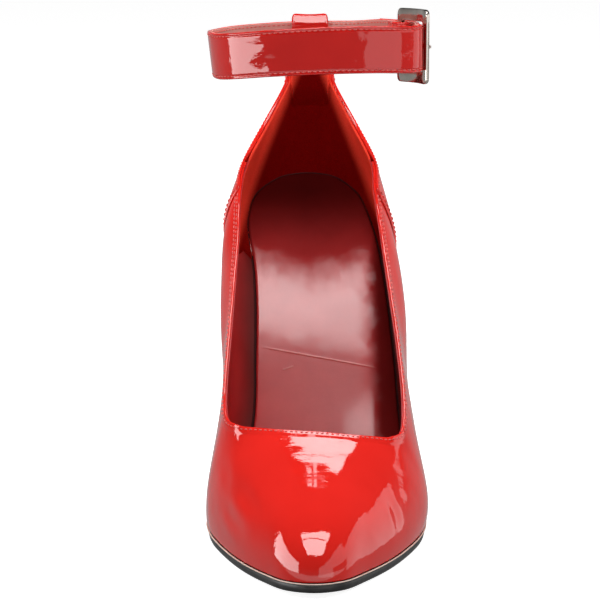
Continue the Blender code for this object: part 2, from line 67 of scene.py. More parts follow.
# Ribs of the upper, as in the solids
STATION_COLUMNS = ("foot_back", "low_rise", "high_drop", "reach")
STATIONS = (
    (0.0, 0.42, 0.30, 0.55),
    (4.0, 0.42, 0.30, 0.54),
    (17.0, 0.42, 0.29, 0.52),
    (35.0, 0.42, 0.28, 0.48),
    (55.0, 0.42, 0.27, 0.35),
    (72.0, 0.40, 0.28, 0.12),
    (86.0, 0.36, 0.32, 0.00),
    *((back, 0.33, 0.33, 0.00) for back in (102.0, 119.0, 136.0, 152.0, 168.0, 182.0, 191.0, 193.0, 193.5)),
)
SIDE_COLUMNS = ("foot_x", "edge_back", "edge_x", "edge_z", "low_belly", "high_belly")
TIP_ROW = (-4.2, 62.5, -2.0, 44.0, 2.0, 0.0)
INNER_SIDE = (
    (-13.8, 62.6, -8.5, 44.4, 2.0, 0.0),
    (-22.3, 63.3, -16.0, 44.8, 2.0, 0.0),
    (-31.0, 65.0, -23.5, 45.0, 2.0, 0.5),
    (-38.0, 68.5, -30.5, 45.0, 2.0, 1.0),
    (-41.8, 76.5, -35.2, 46.2, 2.0, 2.0),
    (-42.2, 87.0, -35.8, 53.4, 1.5, 1.5),
    (-36.5, 101.0, -34.2, 69.0, 3.5, 2.5),
    (-26.5, 116.0, -32.0, 86.0, 11.0, 8.4),
    (-24.5, 132.0, -29.9, 102.5, 14.0, 10.5),
    (-24.5, 148.0, -28.7, 119.0, 12.5, 9.0),
    (-27.0, 166.0, -26.0, 127.5, 3.0, 3.0),
    (-23.0, 183.0, -18.0, 139.0, 3.0, 3.0),
    (-13.0, 190.2, -9.6, 153.8, 3.6, 1.2),
    (-6.5, 191.4, -7.8, 159.3, 3.8, 0.4),
)
BACK_ROW = (-1.0, 192.1, 0.0, 159.5, 3.8, 0.3)
OUTER_SIDE = (
    (5.5, 62.7, 4.5, 43.4, 2.0, 0.0),
    (14.8, 63.5, 12.0, 42.4, 2.5, 0.5),
    (25.5, 65.5, 19.5, 41.2, 3.0, 1.0),
    (34.5, 69.0, 26.5, 40.0, 3.5, 1.5),
    (39.4, 76.0, 31.3, 41.3, 4.0, 1.5),
    (40.6, 86.0, 32.4, 51.2, 3.5, 1.5),
    (38.5, 101.0, 31.0, 68.5, 2.5, 3.5),
    (34.5, 116.0, 28.8, 85.5, 4.0, 5.0),
    (32.5, 132.0, 26.4, 102.0, 6.5, 8.8),
    (29.5, 148.0, 24.4, 118.0, 6.5, 6.8),
    (25.0, 166.0, 24.0, 127.5, 3.0, 3.0),
    (20.0, 183.0, 17.5, 139.0, 3.0, 3.0),
    (11.0, 190.2, 9.6, 153.8, 3.6, 1.2),
    (4.5, 191.4, 7.8, 159.3, 3.8, 0.4),
)
ROWS = 2 * (len(STATIONS) - 1)
BACK_TURN = len(STATIONS) - 1.0

# Heel, as in the solids
HEEL_COLUMNS = ("drop", "front", "back", "width_share", "hollow")
HEEL_RINGS = (
    (0.00, 157.3, 193.5, 1.000, 0.0),
    (0.07, 157.6, 194.0, 0.920, 0.8),
    (0.15, 161.5, 193.4, 0.740, 2.5),
    (0.28, 168.0, 191.6, 0.490, 2.5),
    (0.45, 172.6, 189.4, 0.325, 1.5),
    (0.65, 174.8, 187.9, 0.245, 0.8),
    (0.85, 176.0, 187.1, 0.210, 0.4),
    (1.00, 176.4, 186.9, 0.202, 0.3),
)
HEEL_HOLLOW_SHARE = 0.25
HEEL_TIP_HEIGHT = 5.5
HEEL_TIP_SHARE = 0.96

# Strap, loop and buckle, as in the solids, apart from a softer top of the loop
STRAP_WIDTH = 18.0
STRAP = 1.8
BUCKLE_CENTRE = (38.1, 141.0)
BUCKLE_TURN = math.radians(24.0)
BUCKLE_Z = 175.4
BUCKLE_CLIMB = 0.08
BUCKLE_LENGTH = 24.0
BUCKLE_HEIGHT = 28.7
BUCKLE_BAR = 4.8
BUCKLE_END_BAR = 3.5
BUCKLE_THICKNESS = 1.6
BUCKLE_BOW = 1.0
BUCKLE_CORNER = 2.4
BUCKLE_INNER_CORNER = 0.8
FOLD_ROUTE = (
    (-21.0, 0.6, 173.6), (-15.5, -0.8, 174.1), (-11.5, -2.2, 174.5), (-7.7, -1.6, 174.7),
    (-6.8, 0.0, 174.8), (-7.7, 1.6, 174.7), (-11.5, 2.2, 174.5), (-15.5, 2.6, 174.1),
    (-22.8, 2.8, 173.6),
)
RING_ROUTE = (
    (25.3, 175.0, 172.2), (17.5, 185.3, 170.3), (9.0, 190.9, 169.5), (0.0, 192.2, 169.2),
    (-9.0, 190.9, 169.2), (-20.0, 185.0, 169.3), (-30.2, 175.5, 169.7), (-36.8, 163.0, 170.3),
    (-39.2, 149.0, 171.6), (-36.8, 136.0, 172.4), (-30.0, 126.0, 174.0), (-18.0, 119.5, 175.8),
    (-4.0, 117.0, 176.9), (10.0, 116.6, 177.4), (23.0, 117.6, 177.4), (32.0, 119.8, 177.0),
    (37.6, 123.3, 176.7),
)
TAIL_ROUTE = (
    (13.0, -4.0, 176.5), (10.0, -2.6, 176.2), (7.0, -1.9, 176.0), (3.5, -0.4, 175.7),
    (-0.5, 1.9, 175.4), (-4.5, 3.8, 175.0), (-10.0, 4.5, 174.6), (-15.5, 4.9, 174.1),
    (-22.8, 5.1, 173.5), (-32.0, 4.9, 172.7), (-37.0, 4.4, 172.3),
)
RING_BACK_ROW = 3
PRONG_ROUTE = (
    (-8.6, -2.0), (-11.2, -2.0), (-13.0, -1.2), (-13.4, 0.0), (-13.0, 1.2), (-11.2, 1.9),
    (-8.0, 1.9), (0.0, 1.9), (8.0, 1.9), (11.0, 1.75),
)
PRONG = 1.2
PRONG_WIDTH = 2.2
PRONG_HOLE_ROOM = 0.4
LOOP_WIDTH = 14.5
LOOP = 1.1
LOOP_BACK_RADIUS = 33.0
LOOP_ROUTE = (
    (2.7, 149.5), (2.1, 157.0), (1.9, 164.0), (1.9, 177.0), (1.75, 178.8), (1.2, 180.1),
    (0.4, 180.5), (-0.3, 179.9), (-1.0, 178.7), (-1.65, 177.5), (-1.9, 176.2), (-1.9, 167.0),
    (-2.65, 159.5), (-2.4, 154.0), (-1.9, 149.5),
)

# Layers of the upper, as offsets from its outer skin. Pairs of rows read as turns from an end and offsets
VAMP_INNER = -1.0
VAMP_OVERLAP = 0.9
VAMP_POINTS = 65
FOOT_ROUND = 0.8
HEM_WIDTH = 2.1
HEM_FADE = 0.7
HEM_RISE = 0.16
QUARTER_LIP = (0.0, 0.015, 0.04)
QUARTER_FIRST = 0.1
QUARTER_OUTER = (0.5, 0.8, QUARTER_STEP)
QUARTER_INNER = ((0.95, 1.3), (0.02, -0.7))
LINING_END = 11.0
LINING_FACES = (-1.02, -1.6)
LINING_DROP = 0.5
GRIP_START = 9.35
GRIP_OUTER = ((1.6, 2.0), (-1.02, -0.72))
GRIP_INNER = ((0.0, 0.1), (-1.62, -1.8))
GRIP_DROP = 0.7
GRIP_SLANT = 1.2
GRIP_SLANT_RUN = 0.9
# Corners of the turned-in margin, as distances in from the featherline and above the base
MARGIN_SECTION = ((0.6, 0.05), (0.6, 1.6), (1.5, 1.6), (1.5, 0.25), (7.0, 0.25), (7.0, 0.05))

# Creases of the vamp: their places as (turn, share) from end to end, half width and depth
CREASES = (
    (((3.75, 0.325), (3.3, 0.270), (2.8, 0.242)), 2.6, 0.40),
    (((3.2, 0.525), (2.7, 0.470), (2.1, 0.400)), 3.0, 0.38),
    (((4.3, 0.62), (3.9, 0.55), (3.7, 0.47)), 3.0, 0.20),
    (((-2.9, 0.47), (-3.05, 0.35), (-3.1, 0.24)), 2.2, 0.22),
    (((-3.6, 0.60), (-3.4, 0.50), (-3.5, 0.40)), 2.6, 0.18),
    (((1.3, 0.655), (0.2, 0.690), (-1.2, 0.675)), 2.2, 0.05),
    (((0.9, 0.600), (0.0, 0.625), (-0.7, 0.615)), 2.0, 0.04),
)
CREASE_SAMPLES = 60
CREASE_FADE = 0.7
RIDGE_PLACE = 1.9
RIDGE_SHARE = 0.45

# Edge of the sole and the pale line above it, whose paleness is partly painted reflection of the floor: how
# far out they stand at these distances behind the toe
SOLE_EDGE_BACKS = (0.0, 45.0, 62.0, 84.0)
SOLE_EDGE_OUT = (0.8, 0.1, 0.1, -0.9)
SOLE_RIM = 0.55
WELT_OUT = (0.25, 0.2, 0.2, -0.3)
WELT_END = 9.0
WELT_LIFT = 0.18
WELT_HALF_WIDTH = 0.3
WELT_HALF_HEIGHT = 0.22
# Rim of the sock, how much wider it is than its solid, and the hollow along its middle
SOCK_RIM = 0.9
SOCK_OVERLAP = 0.5
SOCK_CROWN = -0.25
# The top of the heel fills the gap under the seat, so that no light shows through
HEEL_SEAT_FILL = 0.5
HEEL_BEVEL = 0.6
HEEL_BEVEL_STEPS = 3
HEEL_BEVEL_ANGLE = math.radians(50.0)
# Heights of the tip's rings and how much they grow
HEEL_TIP_RINGS = ((HEEL_TIP_HEIGHT, 1.0), (HEEL_TIP_HEIGHT - 0.4, 1.03), (0.4, 1.03), (0.0, 0.99))

# Layers of the strap, its lean at the inner ankle, and the loop's saddle and lining
STRAP_SPLIT = -0.25
STRAP_SPLIT_GAP = 0.02
STRAP_LINING_INSET = 0.3
STRAP_GROOVE = 0.22
GROOVE_HALF_WIDTH = 0.45
STITCH_INSET = 1.25
STITCH_END_ROWS = 4
LEAN = math.radians(6.5)
LEAN_START = 5.0
LEAN_RUN = 40.0
LOOP_STEPS = 8
LOOP_GROOVE = 0.1
LOOP_TOP = 177.0
LOOP_TOP_RUN = 3.0
LOOP_SIDE_RISE = 0.6
LOOP_CORNER = 0.78
LOOP_CORNER_DROP = 1.6
LOOP_CORNER_POWER = 2.5
LOOP_MIDDLE_DROP = 0.1
LOOP_LINING_HALF = 0.2
LOOP_LINING_EXTRA = 1.0
LOOP_WRAP = 2.4
LOOP_WRAP_START = 0.6
LOOP_WRAP_RUN = 1.1
LOOP_FREE = 142.0
LOOP_FREE_RUN = 9.0
LOOP_LINING_ROUTE = (
    (1.6, 139.0), (0.2, 143.0), (-1.6, 147.5), (-3.0, 152.0), (-3.4, 157.0), (-3.5, 160.0),
    (-2.75, 167.5),
)
# Round of the buckle's edges as steps in from the side and down from the face, in shares of the edge
BUCKLE_EDGE = 0.35
BUCKLE_ROUND = ((0.0, 1.0), (0.3, 0.3), (1.0, 0.0))
# Thickness of the prong along its route, as places counted from its start or its end, and shares
PRONG_TAPER_PLACES = (0, 4, -10, -1)
PRONG_TAPER = (0.6, 1.0, 1.0, 0.45)

# Stitches: points along and round one, how thick its ends are, how deep it lies and how its ends dip,
# and, for a row, pitch, length and radius
STITCH_RINGS = 5
STITCH_SIDES = 6
STITCH_END = 0.35
STITCH_SINK = 0.6
STITCH_DIP = 0.9
STITCH_STEP = 0.1
UPPER_STITCH = (1.9, 1.45, 0.26)
STRAP_STITCH = (2.15, 1.6, 0.27)
# Rows along the topline: first and last turn, distance below the edge, lift and samples
TOPLINE_ROWS = (
    (-9.95, 9.95, 1.3, 0.0, 900),
    (5.4, 9.95, 3.0, 0.0, 400),
    (-9.95, -5.4, 3.0, 0.0, 400),
    (10.15, 19.85, 1.5, QUARTER_STEP, 900),
)
SEAM_ROW_TURN = 0.11
SEAM_ROW_SHARES = np.linspace(0.06, 0.93, 200)

# How finely the pieces are cut and measured
TURNS_PER_ROW = 12
MARGIN_TURNS_PER_ROW = 8
WELT_TURNS_PER_ROW = 20
WELT_POINTS = 8
TOE_ROWS = 15
SOLE_ROWS = 110
SOLE_COLUMNS = 9
SOCK_ROWS = 130
SOCK_BACK_ROWS = 25
SOCK_COLUMNS = 25
SEARCH_ROWS = 1200
HEEL_ROWS = 70
HEEL_SIDE_POINTS = 81
HEEL_BREAST_POINTS = 21
STRAP_STEPS = 10
SLOT_STEPS = 6
PRONG_STEPS = 8
PRONG_POINTS = 16
UP = np.array([0.0, 0.0, 1.0])
HALF_ROUND = np.linspace(0.0, math.pi, 9)[1:-1]
WALL_POINTS = 41
STRIP_EDGE = np.linspace(0.72, 1.0, 15)
STRIP_MIDDLE = np.linspace(-0.7, 0.7, 9)
TOP_SHARES = np.linspace(0.8, 1.0, 41)
OUTLINE_STEP = 0.02
TURN_STEP = 0.03
SHARE_STEP = 0.004
JOIN_DISTANCE = 1e-6
SLIVER_DISTANCE = 1e-7
HEIGHT_MARK = "height_above_sole"


# Curves and the skin of the upper


def spline(rows, places, knots, closed):
    """Smooth curve through the rows of a table, read at these places along its knots."""
    rows = np.asarray(rows, float)
    knots = np.asarray(knots, float)
    if closed:
        period = knots[-1]
        rows = np.concatenate([rows[-1:], rows, rows[:2]])
        knots = np.concatenate([[knots[-2] - period], knots, [knots[1] + period]])
    steps = np.diff(knots)[:, None]
    tangents = np.gradient(rows, knots, axis=0)
    span = np.clip(np.searchsorted(knots, places, side="right") - 1, 0, len(knots) - 2)
    width = steps[span]
    t = (places - knots[span])[:, None] / width
    start = (2 * t**3 - 3 * t**2 + 1) * rows[span] + (t**3 - 2 * t**2 + t) * width * tangents[span]
    end = (3 * t**2 - 2 * t**3) * rows[span + 1] + (t**3 - t**2) * width * tangents[span + 1]
    return start + end


def run_length(gaps):
    """Length run at each point, from the gaps between the points."""
    return np.concatenate([[0.0], np.cumsum(gaps)])


def round_angles(count):
    return np.arange(count) * 2.0 * math.pi / count


def base(back):
    """Height and slope of the top of the outsole: toe spring, flat, ball arc, shank, seat."""
    back = np.asarray(back, float)
    ball_end = FLAT_END + BALL_RADIUS * math.sin(SHANK_ANGLE)
    ball_rise = BALL_RADIUS * (1.0 - math.cos(SHANK_ANGLE))
    shank_rise = ball_rise + (SHANK_END - ball_end) * math.tan(SHANK_ANGLE)
    seat_start = SHANK_END + SEAT_RADIUS * (math.sin(SHANK_ANGLE) - math.sin(SEAT_ANGLE))
    seat_rise = shank_rise + SEAT_RADIUS * (math.cos(SEAT_ANGLE) - math.cos(SHANK_ANGLE))
    toe = np.clip(1.0 - back / FLAT_START, 0.0, None)
    ball = np.clip((back - FLAT_END) / BALL_RADIUS, 0.0, math.sin(SHANK_ANGLE))
    seat = np.clip(math.sin(SHANK_ANGLE) - (back - SHANK_END) / SEAT_RADIUS, math.sin(SEAT_ANGLE), 1.0)
    pieces = (back < FLAT_END, back < ball_end, back < SHANK_END, back < seat_start)
    heights = (
        TOE_SPRING * toe**2,
        BALL_RADIUS * (1.0 - np.sqrt(1.0 - ball**2)),
        ball_rise + (back - ball_end) * math.tan(SHANK_ANGLE),
        shank_rise + SEAT_RADIUS * (np.sqrt(1.0 - seat**2) - math.cos(SHANK_ANGLE)),
    )
    slopes = (
        np.arctan(-2.0 * TOE_SPRING / FLAT_START * toe),
        np.arcsin(ball),
        np.full_like(back, SHANK_ANGLE),
        np.arcsin(np.clip(seat, 0.0, 1.0)),
    )
    height = np.select(pieces, heights, seat_rise + (back - seat_start) * math.tan(SEAT_ANGLE))
    return SOLE + height, np.select(pieces, slopes, SEAT_ANGLE)


def on_base(plan, lift):
    """Plan points (x, back) put on the base, then lifted square to it."""
    height, slope = base(plan[..., 1])
    back = plan[..., 1] - lift * np.sin(slope)
    return np.stack([plan[..., 0], back, height + lift * np.cos(slope)], axis=-1)


def by_column(rows):
    return dict(zip(STATION_COLUMNS + SIDE_COLUMNS, rows.T))


def rib_table():
    """All rows round the shoe, and knots by the root of the distance between feet."""
    side = [TIP_ROW, *INNER_SIDE, BACK_ROW, *reversed(OUTER_SIDE)]
    last = len(STATIONS) - 1
    stations = [STATIONS[i if i <= last else 2 * last - i] for i in range(ROWS)]
    rows = np.array([(*station, *row) for station, row in zip(stations, side)])
    ribs = by_column(rows)
    feet = np.column_stack([ribs["foot_x"], ribs["foot_back"], base(ribs["foot_back"])[0]])
    gaps = np.linalg.norm(np.roll(feet, -1, axis=0) - feet, axis=1)
    return rows, run_length(np.sqrt(gaps))


RIB_ROWS, RIB_KNOTS = rib_table()


def read_ribs(turns):
    """Named table values at these turns, which may lie between rows and beyond a full round."""
    places = np.interp(np.mod(turns, ROWS), np.arange(ROWS + 1), RIB_KNOTS)
    return by_column(spline(RIB_ROWS, places, RIB_KNOTS, closed=True))


def foot_outline(turns):
    """Plan of the featherline at these turns, and its outward normals."""
    plans = []
    for step in (0.0, OUTLINE_STEP, -OUTLINE_STEP):
        ribs = read_ribs(turns + step)
        plans.append(np.column_stack([ribs["foot_x"], ribs["foot_back"]]))
    plan, ahead, behind = plans
    along = ahead - behind
    normal = np.column_stack([-along[:, 1], along[:, 0]])
    return plan, normal / np.linalg.norm(normal, axis=1)[:, None]


def skin(turns, shares):
    """Points of the upper's outer surface at these turns and shares, arrays of one shape."""
    shape = np.shape(shares)
    turns = np.broadcast_to(turns, shape).ravel()
    ribs = read_ribs(turns)
    plan, normal = foot_outline(turns)
    foot = on_base(plan, CLEARANCE)
    edge = np.column_stack([ribs["edge_x"], ribs["edge_back"], ribs["edge_z"]])
    rise = edge[:, 2] - foot[:, 2]
    low_out = normal * ribs["low_belly"][:, None]
    low = foot + np.column_stack([low_out, rise * ribs["low_rise"]])
    high_out = normal * ribs["high_belly"][:, None] + (plan - edge[:, :2]) * ribs["reach"][:, None]
    high = edge + np.column_stack([high_out, -rise * ribs["high_drop"]])
    t = np.ravel(shares)[:, None]
    points = (1 - t) ** 3 * foot + 3 * (1 - t) ** 2 * t * low + 3 * (1 - t) * t**2 * high + t**3 * edge
    return points.reshape(*shape, 3)


def unit(vectors):
    return vectors / np.maximum(np.linalg.norm(vectors, axis=-1, keepdims=True), 1e-9)


def skin_frame(turns, shares):
    """Points of the skin, outward normals and directions up the rib."""
    turns = np.broadcast_to(turns, np.shape(shares))
    low = np.clip(shares - SHARE_STEP, 0.0, 1.0)
    high = np.clip(shares + SHARE_STEP, 0.0, 1.0)
    up = unit(skin(turns, high) - skin(turns, low))
    around = skin(turns + TURN_STEP, shares) - skin(turns - TURN_STEP, shares)
    return skin(turns, shares), unit(np.cross(up, around)), up


def edge_share(turns, below):
    """Share of the rib that lies this far below its cut edge, in millimetres."""
    turns = np.atleast_1d(turns)
    points = skin(turns[:, None], np.broadcast_to(TOP_SHARES, (len(turns), len(TOP_SHARES))))
    steps = np.linalg.norm(np.diff(points, axis=1), axis=2)
    left = np.concatenate([np.cumsum(steps[:, ::-1], axis=1)[:, ::-1], np.zeros((len(turns), 1))], axis=1)
    below = np.broadcast_to(below, len(turns))
    return np.array([np.interp(-b, -row, TOP_SHARES) for b, row in zip(below, left)])


# Meshes


def mark_height(piece):
    """Stores on a piece how far each of its points lies above the base, in metres."""
    points = np.array([point.co for point in piece.data.vertices]) / MM
    height, slope = base(points[:, 1] + TOE_TO_ORIGIN)
    mark = piece.data.attributes.new(HEIGHT_MARK, "FLOAT", "POINT")
    mark.data.foreach_set("value", (points[:, 2] - height) * np.cos(slope) * MM)


def to_world(points):
    points = np.asarray(points, float).reshape(-1, 3)
    return (points - np.array([0.0, TOE_TO_ORIGIN, 0.0])) * MM


def clean_mesh(name, points, faces):
    """Mesh in metres, its doubled points joined, slivers gone and all faces turned outwards."""
    mesh = bpy.data.meshes.new(name)
    mesh.from_pydata(to_world(points).tolist(), [], faces)
    work = bmesh.new()
    work.from_mesh(mesh)
    bmesh.ops.remove_doubles(work, verts=work.verts, dist=JOIN_DISTANCE)
    bmesh.ops.dissolve_degenerate(work, edges=work.edges, dist=SLIVER_DISTANCE)
    bmesh.ops.recalc_face_normals(work, faces=work.faces)
    work.to_mesh(mesh)
    work.free()
    return mesh


def add_object(name, data):
    made = bpy.data.objects.new(name, data)
    bpy.context.scene.collection.objects.link(made)
    return made


def add_piece(name, points, faces, material, node, slot, sharp=35.0):
    """One piece of the shoe, standing for a node and taking its finish from the material; slot is not used.
    """
    mesh = clean_mesh(name, points, faces)
    mesh.shade_smooth()
    mesh.set_sharp_from_angle(angle=math.radians(sharp))
    mesh.materials.append(material)
    piece = add_object(name, mesh)
    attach(piece, "root")
    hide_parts(node)
    return piece


def loft_faces(rows, columns, closed=False, capped=(True, True)):
    """Quads between closed sections, with strip caps on the end sections that need one."""
    faces = []
    for i in range(rows if closed else rows - 1):
        near, far = i * columns, (i + 1) % rows * columns
        for j in range(columns):
            k = (j + 1) % columns
            faces.append((near + j, far + j, far + k, near + k))
    ends = (0, (rows - 1) * columns)
    for start in [end for end, cap in zip(ends, capped) if cap and not closed]:
        for j in range(columns // 2):
            quad = (start + j, start + j + 1, start + columns - 2 - j, start + columns - 1 - j)
            quad = tuple(dict.fromkeys(quad))
            if len(quad) > 2:
                faces.append(quad)
    return faces


def add_loft(name, sections, *args, closed=False, capped=(True, True), **kwargs):
    """Piece through closed sections, an array of section, point and coordinate."""
    return add_piece(name, sections, loft_faces(*sections.shape[:2], closed, capped), *args, **kwargs)


def smooth_step(share):
    share = np.clip(share, 0.0, 1.0)
    return share**2 * (3.0 - 2.0 * share)


def cosine_spread(count):
    """Places from 0 to 1, closer together at both ends."""
    return 0.5 - 0.5 * np.cos(np.linspace(0.0, math.pi, count))


def crease_depth(points):
    """How deep the creases press in at these points: a soft trough with a low ridge on both sides."""
    depth = np.zeros(points.shape[:-1])
    for line, width, deep in CREASES:
        places = np.linspace(0.0, len(line) - 1.0, CREASE_SAMPLES)
        bent = spline(line, places, np.arange(len(line)), closed=False)
        path = skin(bent[:, 0], bent[:, 1])
        fade = deep * np.sin(np.linspace(0.0, math.pi, CREASE_SAMPLES)) ** CREASE_FADE
        away = np.linalg.norm(points[..., None, :] - path, axis=-1) / width
        trough = (fade * np.exp(-(away**2))).max(axis=-1)
        ridge = fade[away.argmin(axis=-1)] * np.exp(-((away.min(axis=-1) - RIDGE_PLACE) ** 2))
        depth += trough - RIDGE_SHARE * ridge
    return depth


def wall_sections(
    turns, outer, inner, drop=0.0, hem=0.0, foot_round=0.0, points=WALL_POINTS, warp=0.0, creased=False
):
    """Closed sections of a sheet between two offsets from the skin, with a round top edge.

    drop lowers the top edge, and warp is how many turns a section bends aside at its foot."""
    outer = np.broadcast_to(outer, turns.shape)[:, None, None]
    inner = np.broadcast_to(inner, turns.shape)[:, None, None]
    half = (outer - inner) / 2.0
    spread = cosine_spread(points)
    shares = spread * edge_share(turns, half[:, 0, 0] + drop)[:, None]
    bent = turns[:, None] + np.broadcast_to(warp, turns.shape)[:, None] * (1.0 - spread) ** 2
    points_on, normals, up = skin_frame(bent, shares)
    from_foot = np.linalg.norm(points_on - points_on[:, :1], axis=2)[..., None]
    from_edge = np.linalg.norm(points_on - points_on[:, -1:], axis=2)[..., None]
    gap = np.clip(foot_round - from_foot, 0.0, foot_round)
    tuck = foot_round - np.sqrt(foot_round**2 - gap**2)
    sunk = hem * smooth_step((from_edge - HEM_WIDTH) / HEM_FADE)
    if creased:
        sunk = sunk + crease_depth(points_on)[..., None]
    front = points_on + (outer - tuck - sunk) * normals
    rear = points_on + inner * normals
    centre = (points_on + (outer + inner) / 2.0 * normals)[:, -1:]
    out, top = normals[:, -1:], up[:, -1:]
    rim = [centre + half * (math.cos(a) * out + math.sin(a) * top) for a in HALF_ROUND]
    return np.concatenate([front, *rim, rear[:, ::-1]], axis=1)


def stitch_points(path, normals, pitch, length, radius):
    """Points of a row of short round stitches laid along a path on a surface."""
    run = run_length(np.linalg.norm(np.diff(path, axis=0), axis=1))

    def read(rows, place):
        return np.array([np.interp(place, run, column) for column in rows.T])

    count = max(2, int(run[-1] / pitch))
    points = []
    for middle in (np.arange(count) + 0.5) * run[-1] / count:
        for place in np.linspace(-1.0, 1.0, STITCH_RINGS):
            s = middle + place * length / 2.0
            along = unit(read(path, s + STITCH_STEP) - read(path, s - STITCH_STEP))
            out = read(normals, s)
            out = unit(out - along * (out @ along))
            side = np.cross(along, out)
            swell = radius * (STITCH_END + (1.0 - STITCH_END) * math.sqrt(1.0 - place**2))
            centre = read(path, s) + out * radius * (1.0 - STITCH_SINK - STITCH_DIP * place**2)
            for a in round_angles(STITCH_SIDES):
                points.append(centre + swell * (math.cos(a) * out + math.sin(a) * side))
    return points


def add_stitches(name, rows, size, node, slot):
    """Several stitch rows as one piece. A row is a path on a surface and its normals."""
    points = [point for path, normals in rows for point in stitch_points(path, normals, *size)]
    starts = range(0, len(points), STITCH_RINGS * STITCH_SIDES)
    stitch = loft_faces(STITCH_RINGS, STITCH_SIDES)
    faces = [tuple(start + i for i in face) for start in starts for face in stitch]
    add_piece(name, points, faces, THREAD, node, slot, sharp=60.0)


def topline_row(first, last, below, lift, count):
    """Path of a stitch row that runs this far below the cut edge, and its normals."""
    turns = np.linspace(first, last, count)
    points, normals, _ = skin_frame(turns, edge_share(turns, below))
    return points + lift * normals, normals


# Materials


# Noise that the lining leathers share
TONE = {"scale": 60.0, "detail": 5.0, "roughness": 0.6}
WEAR = {"scale": 140.0, "detail": 6.0, "roughness": 0.65}
GRAIN = {"scale": 900.0, "detail": 4.0, "roughness": 0.6}
GRAIN_DEPTH = 0.00004
GRAIN_STRENGTH = 0.6
# Heights above the sole, in metres, between which the lining's painted shade in its low corner fades
LOW_PAINTED_SHADE_HEIGHTS = (0.001, 0.008)
# Places on the sock and the grip: weights of x, y and z, and the sums where a place starts and is full
# SOCK_SEAT and SOCK_SIDE place the sock's painted shade, for the strap's and the side wall's shadows.
SOCK_SEAT = ((0.0, 0.0, 1.0), 0.080, 0.112)
SOCK_SIDE = ((1.0, 0.0, 0.0), 0.0195, 0.0265)
SOCK_BELOW_HEEL = ((0.22, 0.0, -1.0), -0.090, -0.073)
SOCK_ABOVE_BALL = ((0.17, 0.0, 1.0), 0.0515, 0.064)
SOCK_LEFT_PART = ((-1.0, 0.0, 0.0), -0.026, -0.016)
SOCK_LOW = ((0.0, 0.0, -1.0), -0.050, -0.030)
SOCK_FROM_LEFT = ((1.0, 0.0, 0.0), 0.001, 0.019)
SOCK_FROM_RIGHT = ((-1.0, 0.0, 0.0), -0.0235, -0.0215)
# GRIP_SIDE sets where the grip's painted shade at the back gives way to the suede's own colour.
GRIP_SIDE = ((1.0, 0.0, 0.4), 0.0655, 0.0705)
# Shares of the side's painted shade, the lines' colour and the rubbed sock's gloss, and how far the gloss
# wanders
SOCK_SIDE_SHADE = 0.85
SOCK_LINE_SHADE = 0.6
SOCK_DULL = 0.4
SOCK_WANDER = 0.012
# Lines on the sock, a crease and a scratch painted pale, partly real scuffing and partly painted highlight:
# slant, level, half width and the x of both ends, and the share over which they fade
SOCK_LINES = ((0.1696, 0.05446, 0.0005, -0.021, 0.025), (-0.286, 0.05349, 0.0004, -0.0128, -0.0080))
LINE_FADE = 0.2


